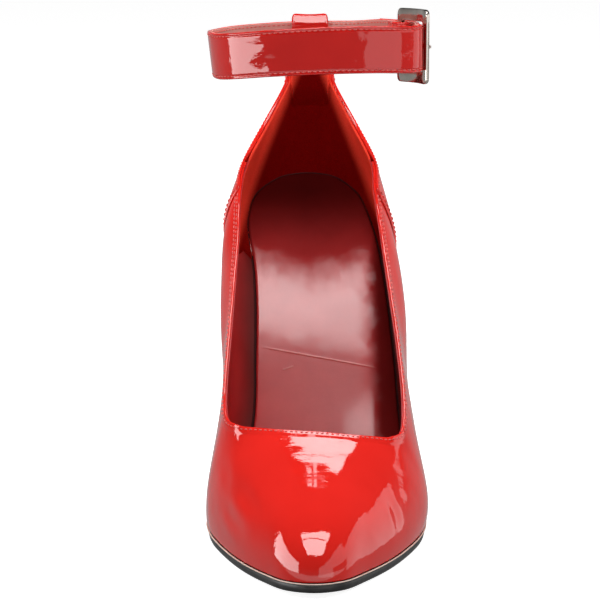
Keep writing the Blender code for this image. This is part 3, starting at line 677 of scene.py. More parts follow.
class Paint:
    """Nodes of one material or world, with a short call for each kind that is used."""

    def __init__(self, owner):
        owner.use_nodes = True
        self.owner = owner
        self.nodes = owner.node_tree.nodes
        self.links = owner.node_tree.links

    def feed(self, socket, value):
        """Links what varies and sets what is the same all over."""
        if isinstance(value, bpy.types.NodeSocket):
            self.links.new(value, socket)
        elif value is not None:
            socket.default_value = value

    def add(self, kind, inputs=None, **settings):
        made = self.nodes.new("ShaderNode" + kind)
        for name, value in settings.items():
            setattr(made, name, value)
        for name, value in (inputs or {}).items():
            self.feed(made.inputs[name], value)
        return made.outputs

    def noise(self, scale, detail=3.0, roughness=0.5, stretch=(1.0, 1.0, 1.0)):
        where = self.add("TexCoord")["Object"]
        where = self.add("Mapping", {"Vector": where, "Scale": stretch})["Vector"]
        inputs = {"Vector": where, "Scale": scale, "Detail": detail, "Roughness": roughness}
        return self.add("TexNoise", inputs)["Fac"]

    def ramp(self, source, low, first, high, second):
        """Colour, or grey for a plain number, that runs from one value to another."""
        made = self.add("ValToRGB", {"Fac": source})["Color"]
        for element, place, value in zip(made.node.color_ramp.elements, (low, high), (first, second)):
            element.position = place
            element.color = (*np.broadcast_to(value, 3).tolist(), 1.0)
        return made

    def bump(self, height, distance, strength, below=None):
        inputs = {"Height": height, "Distance": distance, "Strength": strength, "Normal": below}
        return self.add("Bump", inputs)["Normal"]

    def grain(self, below=None):
        return self.bump(self.noise(**GRAIN), GRAIN_DEPTH, GRAIN_STRENGTH, below)

    def math(self, operation, *values):
        return self.add("Math", dict(enumerate(values)), operation=operation)["Value"]

    def product(self, first, *others):
        for other in others:
            first = self.math("MULTIPLY", first, other)
        return first

    def step(self, value, low, high):
        """How far a value lies between two others, from 0 to 1."""
        inputs = {"Value": value, "From Min": low, "From Max": high}
        return self.add("MapRange", inputs, interpolation_type="SMOOTHSTEP")["Result"]

    def place(self, weights, low, high, fold_x=False, of="Object", shift=0.0):
        """How far a weighted sum of a point's coordinates lies between two values, from 0 to 1."""
        split = self.add("SeparateXYZ", {"Vector": self.add("TexCoord")[of]})
        total = shift
        for axis, weight in zip("XYZ", weights):
            value = self.math("ABSOLUTE", split[axis]) if axis == "X" and fold_x else split[axis]
            total = self.math("MULTIPLY_ADD", value, weight, total)
        return self.step(total, low, high)

    def line(self, slant, level, half, start, end):
        """1 along a given line and 0 away from it, fading at its two ends."""
        below = self.place((slant, 0.0, 1.0), level - half, level)
        above = self.place((slant, 0.0, 1.0), level, level + half)
        fade = LINE_FADE * (end - start)
        from_start = self.place((1.0, 0.0, 0.0), start, start + fade)
        to_end = self.place((-1.0, 0.0, 0.0), -end, fade - end)
        return self.product(self.math("SUBTRACT", below, above), from_start, to_end)

    def blend(self, share, first, second):
        inputs = {"Factor": share, "A": first, "B": second}
        return self.add("Mix", inputs, data_type="RGBA")["Result"]

    def finish(self, inputs):
        """Sets the surface and gives back the material."""
        for name, value in inputs.items():
            self.feed(self.nodes["Principled BSDF"].inputs[name], value)
        return self.owner


def new_paint(name):
    return Paint(bpy.data.materials.new(name))


def lighter(colour, by):
    return tuple(by * value for value in colour)


def patent(name, deep, bright, wave=0.0006):
    """High-gloss patent leather: a clear coat over red, slightly wavy, with a few faint scuffs."""
    paint = new_paint(name)
    slow = paint.bump(paint.noise(90.0, detail=1.0), wave, 0.5)
    middle = paint.bump(paint.noise(420.0, stretch=(0.35, 1.0, 1.0)), wave / 7.0, 0.5, slow)
    fine = paint.bump(paint.noise(1100.0), 0.00001, 0.5, middle)
    streaks = paint.noise(700.0, detail=1.0, stretch=(0.12, 1.0, 0.5))
    scuffs = paint.ramp(streaks, 0.70, 0.0, 0.76, 1.0)
    return paint.finish({
        "Base Color": paint.ramp(paint.noise(35.0, detail=2.0), 0.3, deep, 0.7, bright),
        "Roughness": paint.ramp(paint.noise(900.0, detail=2.0), 0.3, 0.30, 0.8, 0.42),
        "Specular IOR Level": 0.0,
        "Coat Weight": 1.0,
        "Coat Roughness": 0.02,
        "Coat IOR": 1.5,
        "Coat Normal": paint.bump(scuffs, 0.00003, 0.5, fine),
        "Normal": slow,
    })


def smooth_leather(name, dark, light, low, high, shine=0.5, low_painted_shade=None):
    """Smooth lining leather: fine grain, mottled tone and uneven sheen.

    low_painted_shade, where given, is the colour of the shade painted into the corner down at the sole."""
    paint = new_paint(name)
    tone = paint.noise(**TONE)
    colour = paint.ramp(tone, 0.25, dark, 0.75, light)
    # Painted shade: the colour darkens towards the sole, standing in for the shade in the low corner.
    if low_painted_shade is not None:
        corner = paint.ramp(tone, 0.25, low_painted_shade, 0.75, lighter(low_painted_shade, 1.3))
        height = paint.add("Attribute", attribute_name=HEIGHT_MARK)["Fac"]
        colour = paint.blend(paint.step(height, *LOW_PAINTED_SHADE_HEIGHTS), corner, colour)
    wear = paint.noise(**WEAR)
    return paint.finish({
        "Base Color": colour,
        "Roughness": paint.ramp(wear, 0.3, low, 0.7, high),
        "Specular IOR Level": shine,
        "Normal": paint.grain(),
    })


def sock(name, dark, light, heel, rub_and_painted_light, rub_and_painted_light_pale):
    """Coated sock: glossy under the arch and rubbed dull where the heel stands, with painted shade
    darkening the heel seat and one side.
    """
    paint = new_paint(name)
    tone = paint.noise(**TONE)
    unshaded_tone = paint.ramp(tone, 0.25, dark, 0.75, light)
    # Painted shade: the heel seat and the side towards +x darken, standing in for the shadows of the strap
    # and the side wall.
    painted_shade_tone = paint.ramp(tone, 0.25, heel, 0.75, lighter(heel, 1.25))
    side = paint.product(paint.place(*SOCK_SIDE), SOCK_SIDE_SHADE)
    colour = paint.blend(paint.math("MAXIMUM", paint.place(*SOCK_SEAT), side), unshaded_tone, painted_shade_tone)
    lines = paint.math("MAXIMUM", *(paint.line(*line) for line in SOCK_LINES))
    # The lines are painted pale: partly real scuffing, partly painted highlight along the crease.
    pale = paint.ramp(tone, 0.25, rub_and_painted_light, 0.75, rub_and_painted_light_pale)
    rub = paint.noise(**WEAR)
    wander = paint.math("MULTIPLY_ADD", rub, SOCK_WANDER, -SOCK_WANDER / 2.0)
    below_heel = paint.place(*SOCK_BELOW_HEEL, fold_x=True, shift=wander)
    left_part = paint.place(*SOCK_LEFT_PART, shift=wander)
    arch = paint.product(below_heel, left_part, paint.place(*SOCK_ABOVE_BALL, shift=wander))
    low = paint.place(*SOCK_LOW, shift=wander)
    from_left = paint.place(*SOCK_FROM_LEFT, shift=wander)
    patch = paint.product(low, from_left, paint.place(*SOCK_FROM_RIGHT))
    dull = paint.product(below_heel, left_part, SOCK_DULL)
    folded = paint.bump(lines, 0.0002, 0.6, paint.bump(paint.noise(45.0), 0.0002, 0.5))
    return paint.finish({
        "Base Color": paint.blend(paint.product(lines, SOCK_LINE_SHADE), colour, pale),
        "Roughness": paint.ramp(rub, 0.3, 0.5, 0.7, 0.7),
        "Specular IOR Level": 0.0,
        "Coat Weight": paint.math("MAXIMUM", paint.math("MAXIMUM", arch, patch), dull),
        "Coat Roughness": 0.14,
        "Coat IOR": 1.5,
        "Coat Normal": folded,
        "Normal": paint.grain(folded),
    })


def suede(name, dark, light, rub_and_painted_light):
    """Suede heel grip: fine nap, with painted shade darkening the back low down; the sides and the top keep
    the suede's own colour.
    """
    paint = new_paint(name)
    nap = paint.noise(1600.0, detail=4.0, roughness=0.7)
    unshaded_tone = paint.ramp(nap, 0.3, dark, 0.7, light)
    painted_shade_tone = paint.ramp(nap, 0.3, rub_and_painted_light, 0.7, lighter(rub_and_painted_light, 1.5))
    return paint.finish({
        "Base Color": paint.blend(paint.place(*GRIP_SIDE, fold_x=True), painted_shade_tone, unshaded_tone),
        "Roughness": 0.9,
        "Specular IOR Level": 0.0,
        "Sheen Weight": 0.9,
        "Sheen Roughness": 0.35,
        "Sheen Tint": (1.0, 0.06, 0.03, 1.0),
        "Normal": paint.bump(nap, 0.00025, 0.7),
    })


def thread(name, dark, light):
    paint = new_paint(name)
    ply = paint.noise(2500.0, detail=2.0)
    return paint.finish({
        "Base Color": paint.ramp(ply, 0.3, dark, 0.7, light),
        "Roughness": 0.45,
        "Normal": paint.bump(ply, 0.00008, 0.6),
    })


def metal(name, dark, light):
    """Polished nickel plate with faint rub marks."""
    paint = new_paint(name)
    rubs = paint.noise(600.0, detail=5.0, stretch=(1.0, 1.0, 8.0))
    return paint.finish({
        "Metallic": 1.0,
        "Base Color": paint.ramp(paint.noise(200.0), 0.3, dark, 0.7, light),
        "Roughness": paint.ramp(rubs, 0.3, 0.08, 0.7, 0.20),
    })


def moulded(name, dark, light, low, high):
    """Black sole or tip: a moulded surface with faint speckle and rub."""
    paint = new_paint(name)
    rub = paint.noise(500.0, detail=5.0, roughness=0.65)
    return paint.finish({
        "Base Color": paint.ramp(paint.noise(260.0, detail=4.0), 0.3, dark, 0.7, light),
        "Roughness": paint.ramp(rub, 0.3, low, 0.7, high),
        "Specular IOR Level": 0.3,
        "Normal": paint.bump(rub, 0.00005, 0.5),
    })


PATENT = patent("patent_red", (0.75, 0.016, 0.010), (0.83, 0.020, 0.013))
PATENT_STRAP = patent("patent_strap", (0.62, 0.008, 0.005), (0.70, 0.011, 0.007), wave=0.0009)
PATENT_HEEL = patent("patent_heel", (0.73, 0.015, 0.010), (0.81, 0.019, 0.012), wave=0.0004)
# The lining carries painted shade low down by the sole.
LINING = smooth_leather(
    "lining_burgundy", (0.42, 0.016, 0.016), (0.54, 0.024, 0.024), 0.35, 0.5,
    shine=0.25, low_painted_shade=(0.09, 0.004, 0.003),
)
# The turned-in margin is coloured near black as painted shade for the gap round the sock.
PAINTED_SHADE_MARGIN = smooth_leather("lining_margin_painted_shade", (0.030, 0.002, 0.002), (0.050, 0.003, 0.003), 0.7, 0.9, shine=0.1)
# The heel colour is painted shade; the last two colours are for the pale lines.
SOCK = sock(
    "sock_burgundy", (0.42, 0.030, 0.030), (0.54, 0.042, 0.042), (0.06, 0.003, 0.003),
    (0.66, 0.20, 0.18), (0.76, 0.28, 0.25),
)
# The last colour is painted shade for the back of the grip and for the loop's lining.
GRIP = suede("suede_red", (0.90, 0.050, 0.028), (1.0, 0.080, 0.045), (0.12, 0.001, 0.001))
# The strap's lining is pale pink, partly its own colour and partly painted highlight for the light caught
# along the back strap's top edge.
STRAP_LINING = smooth_leather("strap_lining", (0.56, 0.20, 0.17), (0.68, 0.28, 0.24), 0.3, 0.45)
THREAD = thread("thread_red", (0.60, 0.04, 0.03), (0.80, 0.12, 0.10))
EDGE_AND_PAINTED_REFLECTION = smooth_leather("cut_edge_and_painted_reflection", (0.78, 0.56, 0.46), (0.88, 0.70, 0.60), 0.4, 0.6)
BLACK = moulded("sole_black", (0.010, 0.010, 0.010), (0.022, 0.021, 0.020), 0.32, 0.5)
RUBBER = moulded("tip_rubber", (0.010, 0.010, 0.010), (0.02, 0.02, 0.02), 0.55, 0.75)
NICKEL = metal("nickel", (0.44, 0.40, 0.36), (0.56, 0.51, 0.46))


# Upper


def spread_turns(first, last, per_row=TURNS_PER_ROW):
    return np.linspace(first, last, int(round((last - first) * per_row)) + 1)


def make_upper():
    wing = QUARTER_SEAM_ROW + VAMP_OVERLAP
    looks = {"foot_round": FOOT_ROUND, "hem": HEM_RISE}
    turns = spread_turns(-wing, wing)
    sections = wall_sections(turns, 0.0, VAMP_INNER, points=VAMP_POINTS, creased=True, **looks)
    add_loft("upper_vamp", sections, PATENT, "upper", "upper_patent")
    first, last = QUARTER_SEAM_ROW, ROWS - QUARTER_SEAM_ROW
    lip = np.array(QUARTER_LIP)
    body = spread_turns(first + QUARTER_FIRST, last - QUARTER_FIRST)
    turns = np.concatenate([first + lip, body, last - lip[::-1]])
    edge = np.minimum(turns - first, last - turns)
    outer = np.interp(edge, QUARTER_LIP, QUARTER_OUTER)
    sections = wall_sections(turns, outer, np.interp(edge, *QUARTER_INNER), **looks)
    add_loft("upper_quarter", sections, PATENT, "upper", "upper_patent")


def make_linings():
    sections = wall_sections(spread_turns(-LINING_END, LINING_END), *LINING_FACES, drop=LINING_DROP)
    mark_height(add_loft("lining_vamp", sections, LINING, "upper", "insole_burgundy"))
    turns = spread_turns(GRIP_START, ROWS - GRIP_START)
    edge = np.minimum(turns - turns[0], turns[-1] - turns)
    outer, inner = np.interp(edge, *GRIP_OUTER), np.interp(edge, *GRIP_INNER)
    slant = np.where(turns < BACK_TURN, GRIP_SLANT, -GRIP_SLANT)
    warp = np.clip(1.0 - edge / GRIP_SLANT_RUN, 0.0, 1.0) * slant
    sections = wall_sections(turns, outer, inner, drop=GRIP_DROP, warp=warp)
    add_loft("heel_grip", sections, GRIP, "upper", "insole_burgundy")


def make_lasting_margin():
    """Margin of the lining, turned in under the insole all the way round."""
    plan, normal = foot_outline(spread_turns(0.0, ROWS, MARGIN_TURNS_PER_ROW)[:-1])
    sections = np.stack([on_base(plan - inset * normal, lift) for inset, lift in MARGIN_SECTION], axis=1)
    # Near-black painted shade fills the gap round the sock.
    add_loft("lasting_margin", sections, PAINTED_SHADE_MARGIN, "upper", "insole_burgundy", closed=True)


def make_upper_stitches():
    rows = [topline_row(*row) for row in TOPLINE_ROWS]
    seam = QUARTER_SEAM_ROW + SEAM_ROW_TURN
    for turn in (seam, ROWS - seam):
        points, normals, _ = skin_frame(turn, SEAM_ROW_SHARES)
        rows.append((points + QUARTER_STEP * normals, normals))
    add_stitches("upper_stitching", rows, UPPER_STITCH, "upper", "upper_patent")


# Sole, insole and heel


def breast_turn(back):
    """Turn at which the featherline is this far behind the toe."""
    turns = np.linspace(0.0, BACK_TURN, SEARCH_ROWS)
    return float(np.interp(back, read_ribs(turns)["foot_back"], turns))


def toe_turns(last, count):
    """Turns from the toe backwards, closer together round the toe."""
    return np.concatenate([np.linspace(0.0, 1.0, TOE_ROWS)[:-1], np.linspace(1.0, last, count)])


def sheet_parts(turns, inset, low, high, rim, columns, crown=0.0):
    """Plan points and lifts across a sheet on the base, its sides rounded by a half-round rim.

    low and high are the sheet's faces above the base, inset its distance in from the featherline."""
    sides = []
    for places in (turns, np.mod(ROWS - turns, ROWS)):
        plan, normal = foot_outline(places)
        sides.append((plan - np.asarray(inset)[:, None] * normal, normal))
    left, right = sides
    across = np.linspace(0.0, 1.0, columns)
    width = np.linalg.norm(right[0] - left[0], axis=1)
    crown = crown * (width / width.max()) ** 2
    middle, half = (high + low) / 2.0, (high - low) / 2.0
    parts = []
    for face, order, end in ((1.0, across, right), (-1.0, across[::-1], left)):
        for share in order:
            bulge = crown * 4.0 * share * (1.0 - share) if face > 0 else 0.0
            parts.append((left[0] + share * (right[0] - left[0]), middle + face * half + bulge))
        for a in HALF_ROUND:
            parts.append((end[0] + rim * math.sin(a) * end[1], middle + face * half * math.cos(a)))
    return parts


def make_outsole():
    turns = toe_turns(breast_turn(HEEL_BREAST), SOLE_ROWS)
    out = np.interp(read_ribs(turns)["foot_back"], SOLE_EDGE_BACKS, SOLE_EDGE_OUT)
    points = []
    for plan, lift in sheet_parts(turns, SOLE_RIM - out, -SOLE, 0.0, SOLE_RIM, SOLE_COLUMNS):
        height, slope = base(plan[:, 1])
        points.append(np.column_stack([plan, height + lift / np.cos(slope)]))
    sections = np.stack(points, axis=1)
    add_loft("outsole_body", sections, BLACK, "outsole", "sole_black", capped=(False, True), sharp=50.0)


def make_welt():
    """Thin pale line of the cut edge where the upper meets the sole, its paleness partly painted reflection
    of the floor.
    """
    turns = spread_turns(-WELT_END, WELT_END, WELT_TURNS_PER_ROW)
    plan, normal = foot_outline(turns)
    lip = np.interp(read_ribs(turns)["foot_back"], SOLE_EDGE_BACKS, WELT_OUT)
    middle = base(plan[:, 1])[0] + WELT_LIFT
    rings = []
    for a in round_angles(WELT_POINTS):
        out = (lip + WELT_HALF_WIDTH * math.cos(a))[:, None]
        rings.append(np.column_stack([plan + out * normal, middle + WELT_HALF_HEIGHT * math.sin(a)]))
    add_loft("welt_line", np.stack(rings, axis=1), EDGE_AND_PAINTED_REFLECTION, "upper", "upper_patent")


def make_insole():
    turns = toe_turns(BACK_TURN - 1.0, SOCK_ROWS)
    turns = np.concatenate([turns, np.linspace(BACK_TURN - 1.0, BACK_TURN, SOCK_BACK_ROWS)[1:]])
    inset = np.full(len(turns), INSOLE_INSET - SOCK_OVERLAP + SOCK_RIM)
    low, high = CLEARANCE, CLEARANCE + INSOLE
    parts = sheet_parts(turns, inset, low, high, SOCK_RIM, SOCK_COLUMNS, crown=SOCK_CROWN)
    sections = np.stack([on_base(plan, lift) for plan, lift in parts], axis=1)
    add_loft("insole_sock", sections, SOCK, "insole", "insole_burgundy", capped=(False, False), sharp=60.0)


def heel_seat():
    """Plan loop of the seat behind the breast: round the back, then straight across the breast."""
    first = breast_turn(HEEL_BREAST + CLEARANCE)
    around = foot_outline(np.linspace(first, ROWS - first, HEEL_SIDE_POINTS))[0]
    share = np.linspace(0.0, 1.0, HEEL_BREAST_POINTS)[1:-1, None]
    return np.concatenate([around, around[-1] + share * (around[0] - around[-1])])


def heel_ring(seat, row):
    """Ring of the heel at one row of its table, on the plan of the seat."""
    ring = dict(zip(HEEL_COLUMNS, row))
    along = (seat[:, 1] - seat[:, 1].min()) / np.ptp(seat[:, 1])
    across = seat[:, 0] / np.abs(seat[:, 0]).max()
    seat_z = base(seat[:, 1])[0]
    near_breast = np.clip(1.0 - along / HEEL_HOLLOW_SHARE, 0.0, 1.0)
    depth = ring["hollow"] * np.clip(1.0 - across**2, 0.0, 1.0) * near_breast
    back = ring["front"] + along * (ring["back"] - ring["front"]) + depth
    z = seat_z + ring["drop"] * (HEEL_TIP_HEIGHT - seat_z)
    return np.column_stack([seat[:, 0] * ring["width_share"], back, z])


def make_heel():
    seat = heel_seat()
    drops = np.array([row[0] for row in HEEL_RINGS])
    rows = spline(HEEL_RINGS, np.linspace(0.0, 1.0, HEEL_ROWS), drops, closed=False)
    sections = np.stack([heel_ring(seat, row) for row in rows])
    sections[0, :, 2] += HEEL_SEAT_FILL
    heel = add_loft("heel_body", sections, PATENT_HEEL, "heel", "heel_cover", sharp=45.0)
    bevel = heel.modifiers.new("edges", "BEVEL")
    bevel.width = HEEL_BEVEL * MM
    bevel.segments = HEEL_BEVEL_STEPS
    bevel.limit_method = "ANGLE"
    bevel.angle_limit = HEEL_BEVEL_ANGLE
    bevel.use_clamp_overlap = True
    ring = heel_ring(seat, HEEL_RINGS[-1])
    middle = ring.mean(axis=0)
    sections = []
    for z, grow in HEEL_TIP_RINGS:
        level = middle + (ring - middle) * HEEL_TIP_SHARE * grow
        level[:, 2] = z
        sections.append(level)
    add_loft("heel_tip_block", np.stack(sections), RUBBER, "heel_tip", "tip_rubber", sharp=30.0)


# Strap, loop and buckle


def from_buckle(route):
    """Points in the buckle's axes (along, out, z) to (x, back, z)."""
    along, out, z = np.asarray(route, float).T
    x = BUCKLE_CENTRE[0] + along * math.sin(BUCKLE_TURN) + out * math.cos(BUCKLE_TURN)
    back = BUCKLE_CENTRE[1] - along * math.cos(BUCKLE_TURN) + out * math.sin(BUCKLE_TURN)
    return np.column_stack([x, back, z])


def smooth_route(points, steps):
    """Smooth curve through these points, with so many steps between two of them."""
    points = np.asarray(points, float)
    gaps = np.linalg.norm(np.diff(points[:, :2], axis=0), axis=1)
    knots = run_length(np.sqrt(gaps))
    places = np.interp(np.arange((len(points) - 1) * steps + 1) / steps, np.arange(len(points)), knots)
    return spline(points, places, knots, closed=False)


def route_normals(route):
    """Level normals on the right of travel, which is the strap's outer face."""
    along = np.gradient(route[:, :2], axis=0)
    normal = np.column_stack([along[:, 1], -along[:, 0]])
    return np.pad(unit(normal), ((0, 0), (0, 1)))


def strap_profile(width, low, high, groove=0.0):
    """Section of a strip as (across, out) pairs, with round edges and a stitch groove on its face."""
    middle, radius = (high + low) / 2.0, (high - low) / 2.0
    flat = width / 2.0 - radius
    across = flat * np.concatenate([-STRIP_EDGE[::-1], STRIP_MIDDLE, STRIP_EDGE])
    from_groove = np.abs(across) - (width / 2.0 - STITCH_INSET)
    dent = groove * np.exp(-((from_groove / GROOVE_HALF_WIDTH) ** 2))
    top = np.column_stack([across, high - dent])
    right = np.column_stack([flat + radius * np.sin(HALF_ROUND), middle + radius * np.cos(HALF_ROUND)])
    bottom = np.column_stack([across[::-1], np.full(len(across), low)])
    return np.concatenate([top, right, bottom, (0.0, 2.0 * middle) - right])


def lean(route):
    """How far the strap leans out at its top, as a tilt that grows towards the inner ankle."""
    return LEAN * smooth_step((LEAN_START - route[:, 0]) / LEAN_RUN)


def strip_sections(route, normals, profile, tilt=0.0):
    """Sections of a strip along a route, upright or leaning out by this tilt."""
    tilt = np.broadcast_to(tilt, len(route))[:, None]
    up = UP * np.cos(tilt) + normals * np.sin(tilt)
    out = normals * np.cos(tilt) - UP * np.sin(tilt)
    return route[:, None] + profile[None, :, 1:] * out[:, None] + profile[None, :, :1] * up[:, None]


def prong_route():
    along, out = np.array(PRONG_ROUTE).T
    return from_buckle(np.column_stack([along, out, BUCKLE_Z + along * BUCKLE_CLIMB]))


def cut_away(piece, cutter):
    """Boolean cut, applied to the mesh of the piece."""
    cut = piece.modifiers.new("slot", "BOOLEAN")
    cut.operation = "DIFFERENCE"
    cut.object = cutter
    done = bpy.data.meshes.new_from_object(piece.evaluated_get(bpy.context.evaluated_depsgraph_get()))
    piece.modifiers.clear()
    piece.data = done


def make_strap():
    route = np.concatenate([from_buckle(FOLD_ROUTE), RING_ROUTE, from_buckle(TAIL_ROUTE)])
    route = smooth_route(route, STRAP_STEPS)
    normals, tilt, face = route_normals(route), lean(route), STRAP / 2.0
    profile = strap_profile(STRAP_WIDTH, STRAP_SPLIT, face, groove=STRAP_GROOVE)
    sections = strip_sections(route, normals, profile, tilt)
    outer = add_loft("strap_outer", sections, PATENT_STRAP, "ankle_strap", "strap_patent")
    profile = strap_profile(STRAP_WIDTH - STRAP_LINING_INSET, -face, STRAP_SPLIT - STRAP_SPLIT_GAP)
    sections = strip_sections(route, normals, profile, tilt)
    inner = add_loft("strap_lining", sections, STRAP_LINING, "ankle_strap", "strap_patent")
    slot_route = smooth_route(prong_route(), SLOT_STEPS)
    half = np.array([PRONG_WIDTH, PRONG]) / 2.0 + PRONG_HOLE_ROOM
    corners = np.array([(-1, 1), (1, 1), (1, -1), (-1, -1)]) * half
    sections = strip_sections(slot_route, route_normals(slot_route), corners)
    faces = loft_faces(*sections.shape[:2])
    cutter = add_object("prong_slot", clean_mesh("prong_slot", sections, faces))
    for piece in (outer, inner):
        cut_away(piece, cutter)
    bpy.data.objects.remove(cutter)
    rows = []
    sewn = slice(STITCH_END_ROWS, -STITCH_END_ROWS)
    for across in (STITCH_INSET - STRAP_WIDTH / 2.0, STRAP_WIDTH / 2.0 - STITCH_INSET):
        for side, out in ((1.0, face - STRAP_GROOVE), (-1.0, -face)):
            path = strip_sections(route, normals, np.array([[across, out]]), tilt)[:, 0]
            rows.append((path[sewn], side * normals[sewn]))
    add_stitches("strap_stitching", rows, STRAP_STITCH, "ankle_strap", "strap_patent")


def loop_sections(profile, back, z):
    """Sections of a strip that bends round the back of the ankle."""
    x = np.broadcast_to(profile[:, 0], back.shape)
    bulge = RING_ROUTE[RING_BACK_ROW][1] - x**2 / (2.0 * LOOP_BACK_RADIUS)
    return np.stack([x, bulge + back, np.broadcast_to(z, back.shape)], axis=-1)


def make_loop():
    route = smooth_route(LOOP_ROUTE, LOOP_STEPS)
    normal = unit(np.column_stack([np.gradient(route[:, 1]), -np.gradient(route[:, 0])]))
    profile = strap_profile(LOOP_WIDTH, -LOOP / 2.0, LOOP / 2.0, groove=LOOP_GROOVE)
    side = np.abs(profile[:, 0]) / (LOOP_WIDTH / 2.0)
    corner = np.clip((side - LOOP_CORNER) / (1.0 - LOOP_CORNER), 0.0, 1.0) ** LOOP_CORNER_POWER
    saddle = LOOP_SIDE_RISE * side**2 - LOOP_CORNER_DROP * corner - LOOP_MIDDLE_DROP
    over = np.clip((route[:, 1:] - LOOP_TOP) / LOOP_TOP_RUN, 0.0, 1.0)
    back = route[:, :1] + profile[:, 1] * normal[:, :1]
    z = route[:, 1:] + profile[:, 1] * normal[:, 1:] + over * saddle
    add_loft("loop_band", loop_sections(profile, back, z), PATENT_STRAP, "strap_loop", "loop_patent")
    route = smooth_route(LOOP_LINING_ROUTE, LOOP_STEPS)
    profile = strap_profile(LOOP_WIDTH + LOOP_LINING_EXTRA, -LOOP_LINING_HALF, LOOP_LINING_HALF)
    past_edge = np.abs(profile[:, 0]) - LOOP_WIDTH / 2.0 + LOOP_WRAP_START
    wrap = LOOP_WRAP * np.clip(past_edge / LOOP_WRAP_RUN, 0.0, 1.0) ** 2
    free = smooth_step((route[:, 1:] - LOOP_FREE) / LOOP_FREE_RUN)
    back = route[:, :1] - profile[:, 1] + free * wrap
    add_loft("loop_lining", loop_sections(profile, back, route[:, 1:]), GRIP, "strap_loop", "loop_patent")


def rounded_frame(length, height, corner, side_points=9, corner_points=6):
    """Loop of a rounded rectangle, the same number of points on every side and corner."""
    loop = []
    for quarter in range(4):
        angle = math.pi / 2.0 * quarter
        turn = np.array([[math.cos(angle), math.sin(angle)], [-math.sin(angle), math.cos(angle)]])
        half = (length / 2.0, height / 2.0) if quarter % 2 == 0 else (height / 2.0, length / 2.0)
        straight = half[1] - corner
        for share in np.linspace(-1.0, 1.0, side_points):
            loop.append(np.array([half[0], share * straight]) @ turn)
        for bend in np.linspace(0.0, math.pi / 2.0, corner_points + 2)[1:-1]:
            centre = np.array([half[0] - corner, straight])
            loop.append((centre + corner * np.array([math.cos(bend), math.sin(bend)])) @ turn)
    return np.array(loop)


def make_buckle():
    outer = rounded_frame(BUCKLE_LENGTH, BUCKLE_HEIGHT, BUCKLE_CORNER)
    opening = (BUCKLE_LENGTH - 2.0 * BUCKLE_END_BAR, BUCKLE_HEIGHT - 2.0 * BUCKLE_BAR)
    inner = rounded_frame(*opening, BUCKLE_INNER_CORNER)
    into = BUCKLE_EDGE * unit(inner - outer)
    bowed = opening[0] / 2.0
    sections = []
    edges = ((outer, into, 1, 1), (inner, -into, 1, -1), (inner, -into, -1, 1), (outer, into, -1, -1))
    for side, inward, face, order in edges:
        for inset, drop in BUCKLE_ROUND[::order]:
            along, across = (side + inset * inward).T
            out = face * (BUCKLE_THICKNESS / 2.0 - drop * BUCKLE_EDGE)
            bow = BUCKLE_BOW * np.clip(1.0 - (along / bowed) ** 2, 0.0, 1.0)
            z = BUCKLE_Z + across + along * BUCKLE_CLIMB
            sections.append(from_buckle(np.column_stack([along, out + bow, z])))
    sections = np.stack(sections, axis=1)
    add_loft("buckle_bars", sections, NICKEL, "buckle_frame", "buckle_nickel", closed=True, sharp=50.0)
    route = smooth_route(prong_route(), PRONG_STEPS)
    angles = round_angles(PRONG_POINTS)
    places = np.mod(PRONG_TAPER_PLACES, len(route))
    taper = np.interp(np.arange(len(route)), places, PRONG_TAPER)[:, None, None]
    profile = np.column_stack([np.cos(angles) * PRONG_WIDTH / 2.0, np.sin(angles) * PRONG / 2.0])
    middle = route[:, None]
    sections = middle + taper * (strip_sections(route, route_normals(route), profile) - middle)
    add_loft("buckle_tongue", sections, NICKEL, "buckle_prong", "prong_nickel", sharp=60.0)


# Stage


def add_panel(name, corner, along, upward, radiance, gives):
    """Studio panel: a lit rectangle from a corner along two edges, unseen by the camera."""
    along, upward = np.array(along), np.array(upward)
    size = np.linalg.norm(along), np.linalg.norm(upward)
    lamp = bpy.data.lights.new(name, "AREA")
    lamp.shape = "RECTANGLE"
    lamp.size, lamp.size_y = size
    lamp.energy = math.pi * size[0] * size[1] * radiance
    made = add_object(name, lamp)
    middle = np.array(corner) + along / 2.0 + upward / 2.0
    x, y = along / size[0], upward / size[1]
    if np.cross(x, y) @ middle < 0.0:
        x = -x
    turn = Matrix(np.column_stack([x, y, np.cross(x, y)]).tolist()).to_4x4()
    made.matrix_world = Matrix.Translation(middle.tolist()) @ turn
    made.visible_camera = False
    made.visible_diffuse = gives != "gloss"
    made.visible_glossy = gives != "soft"


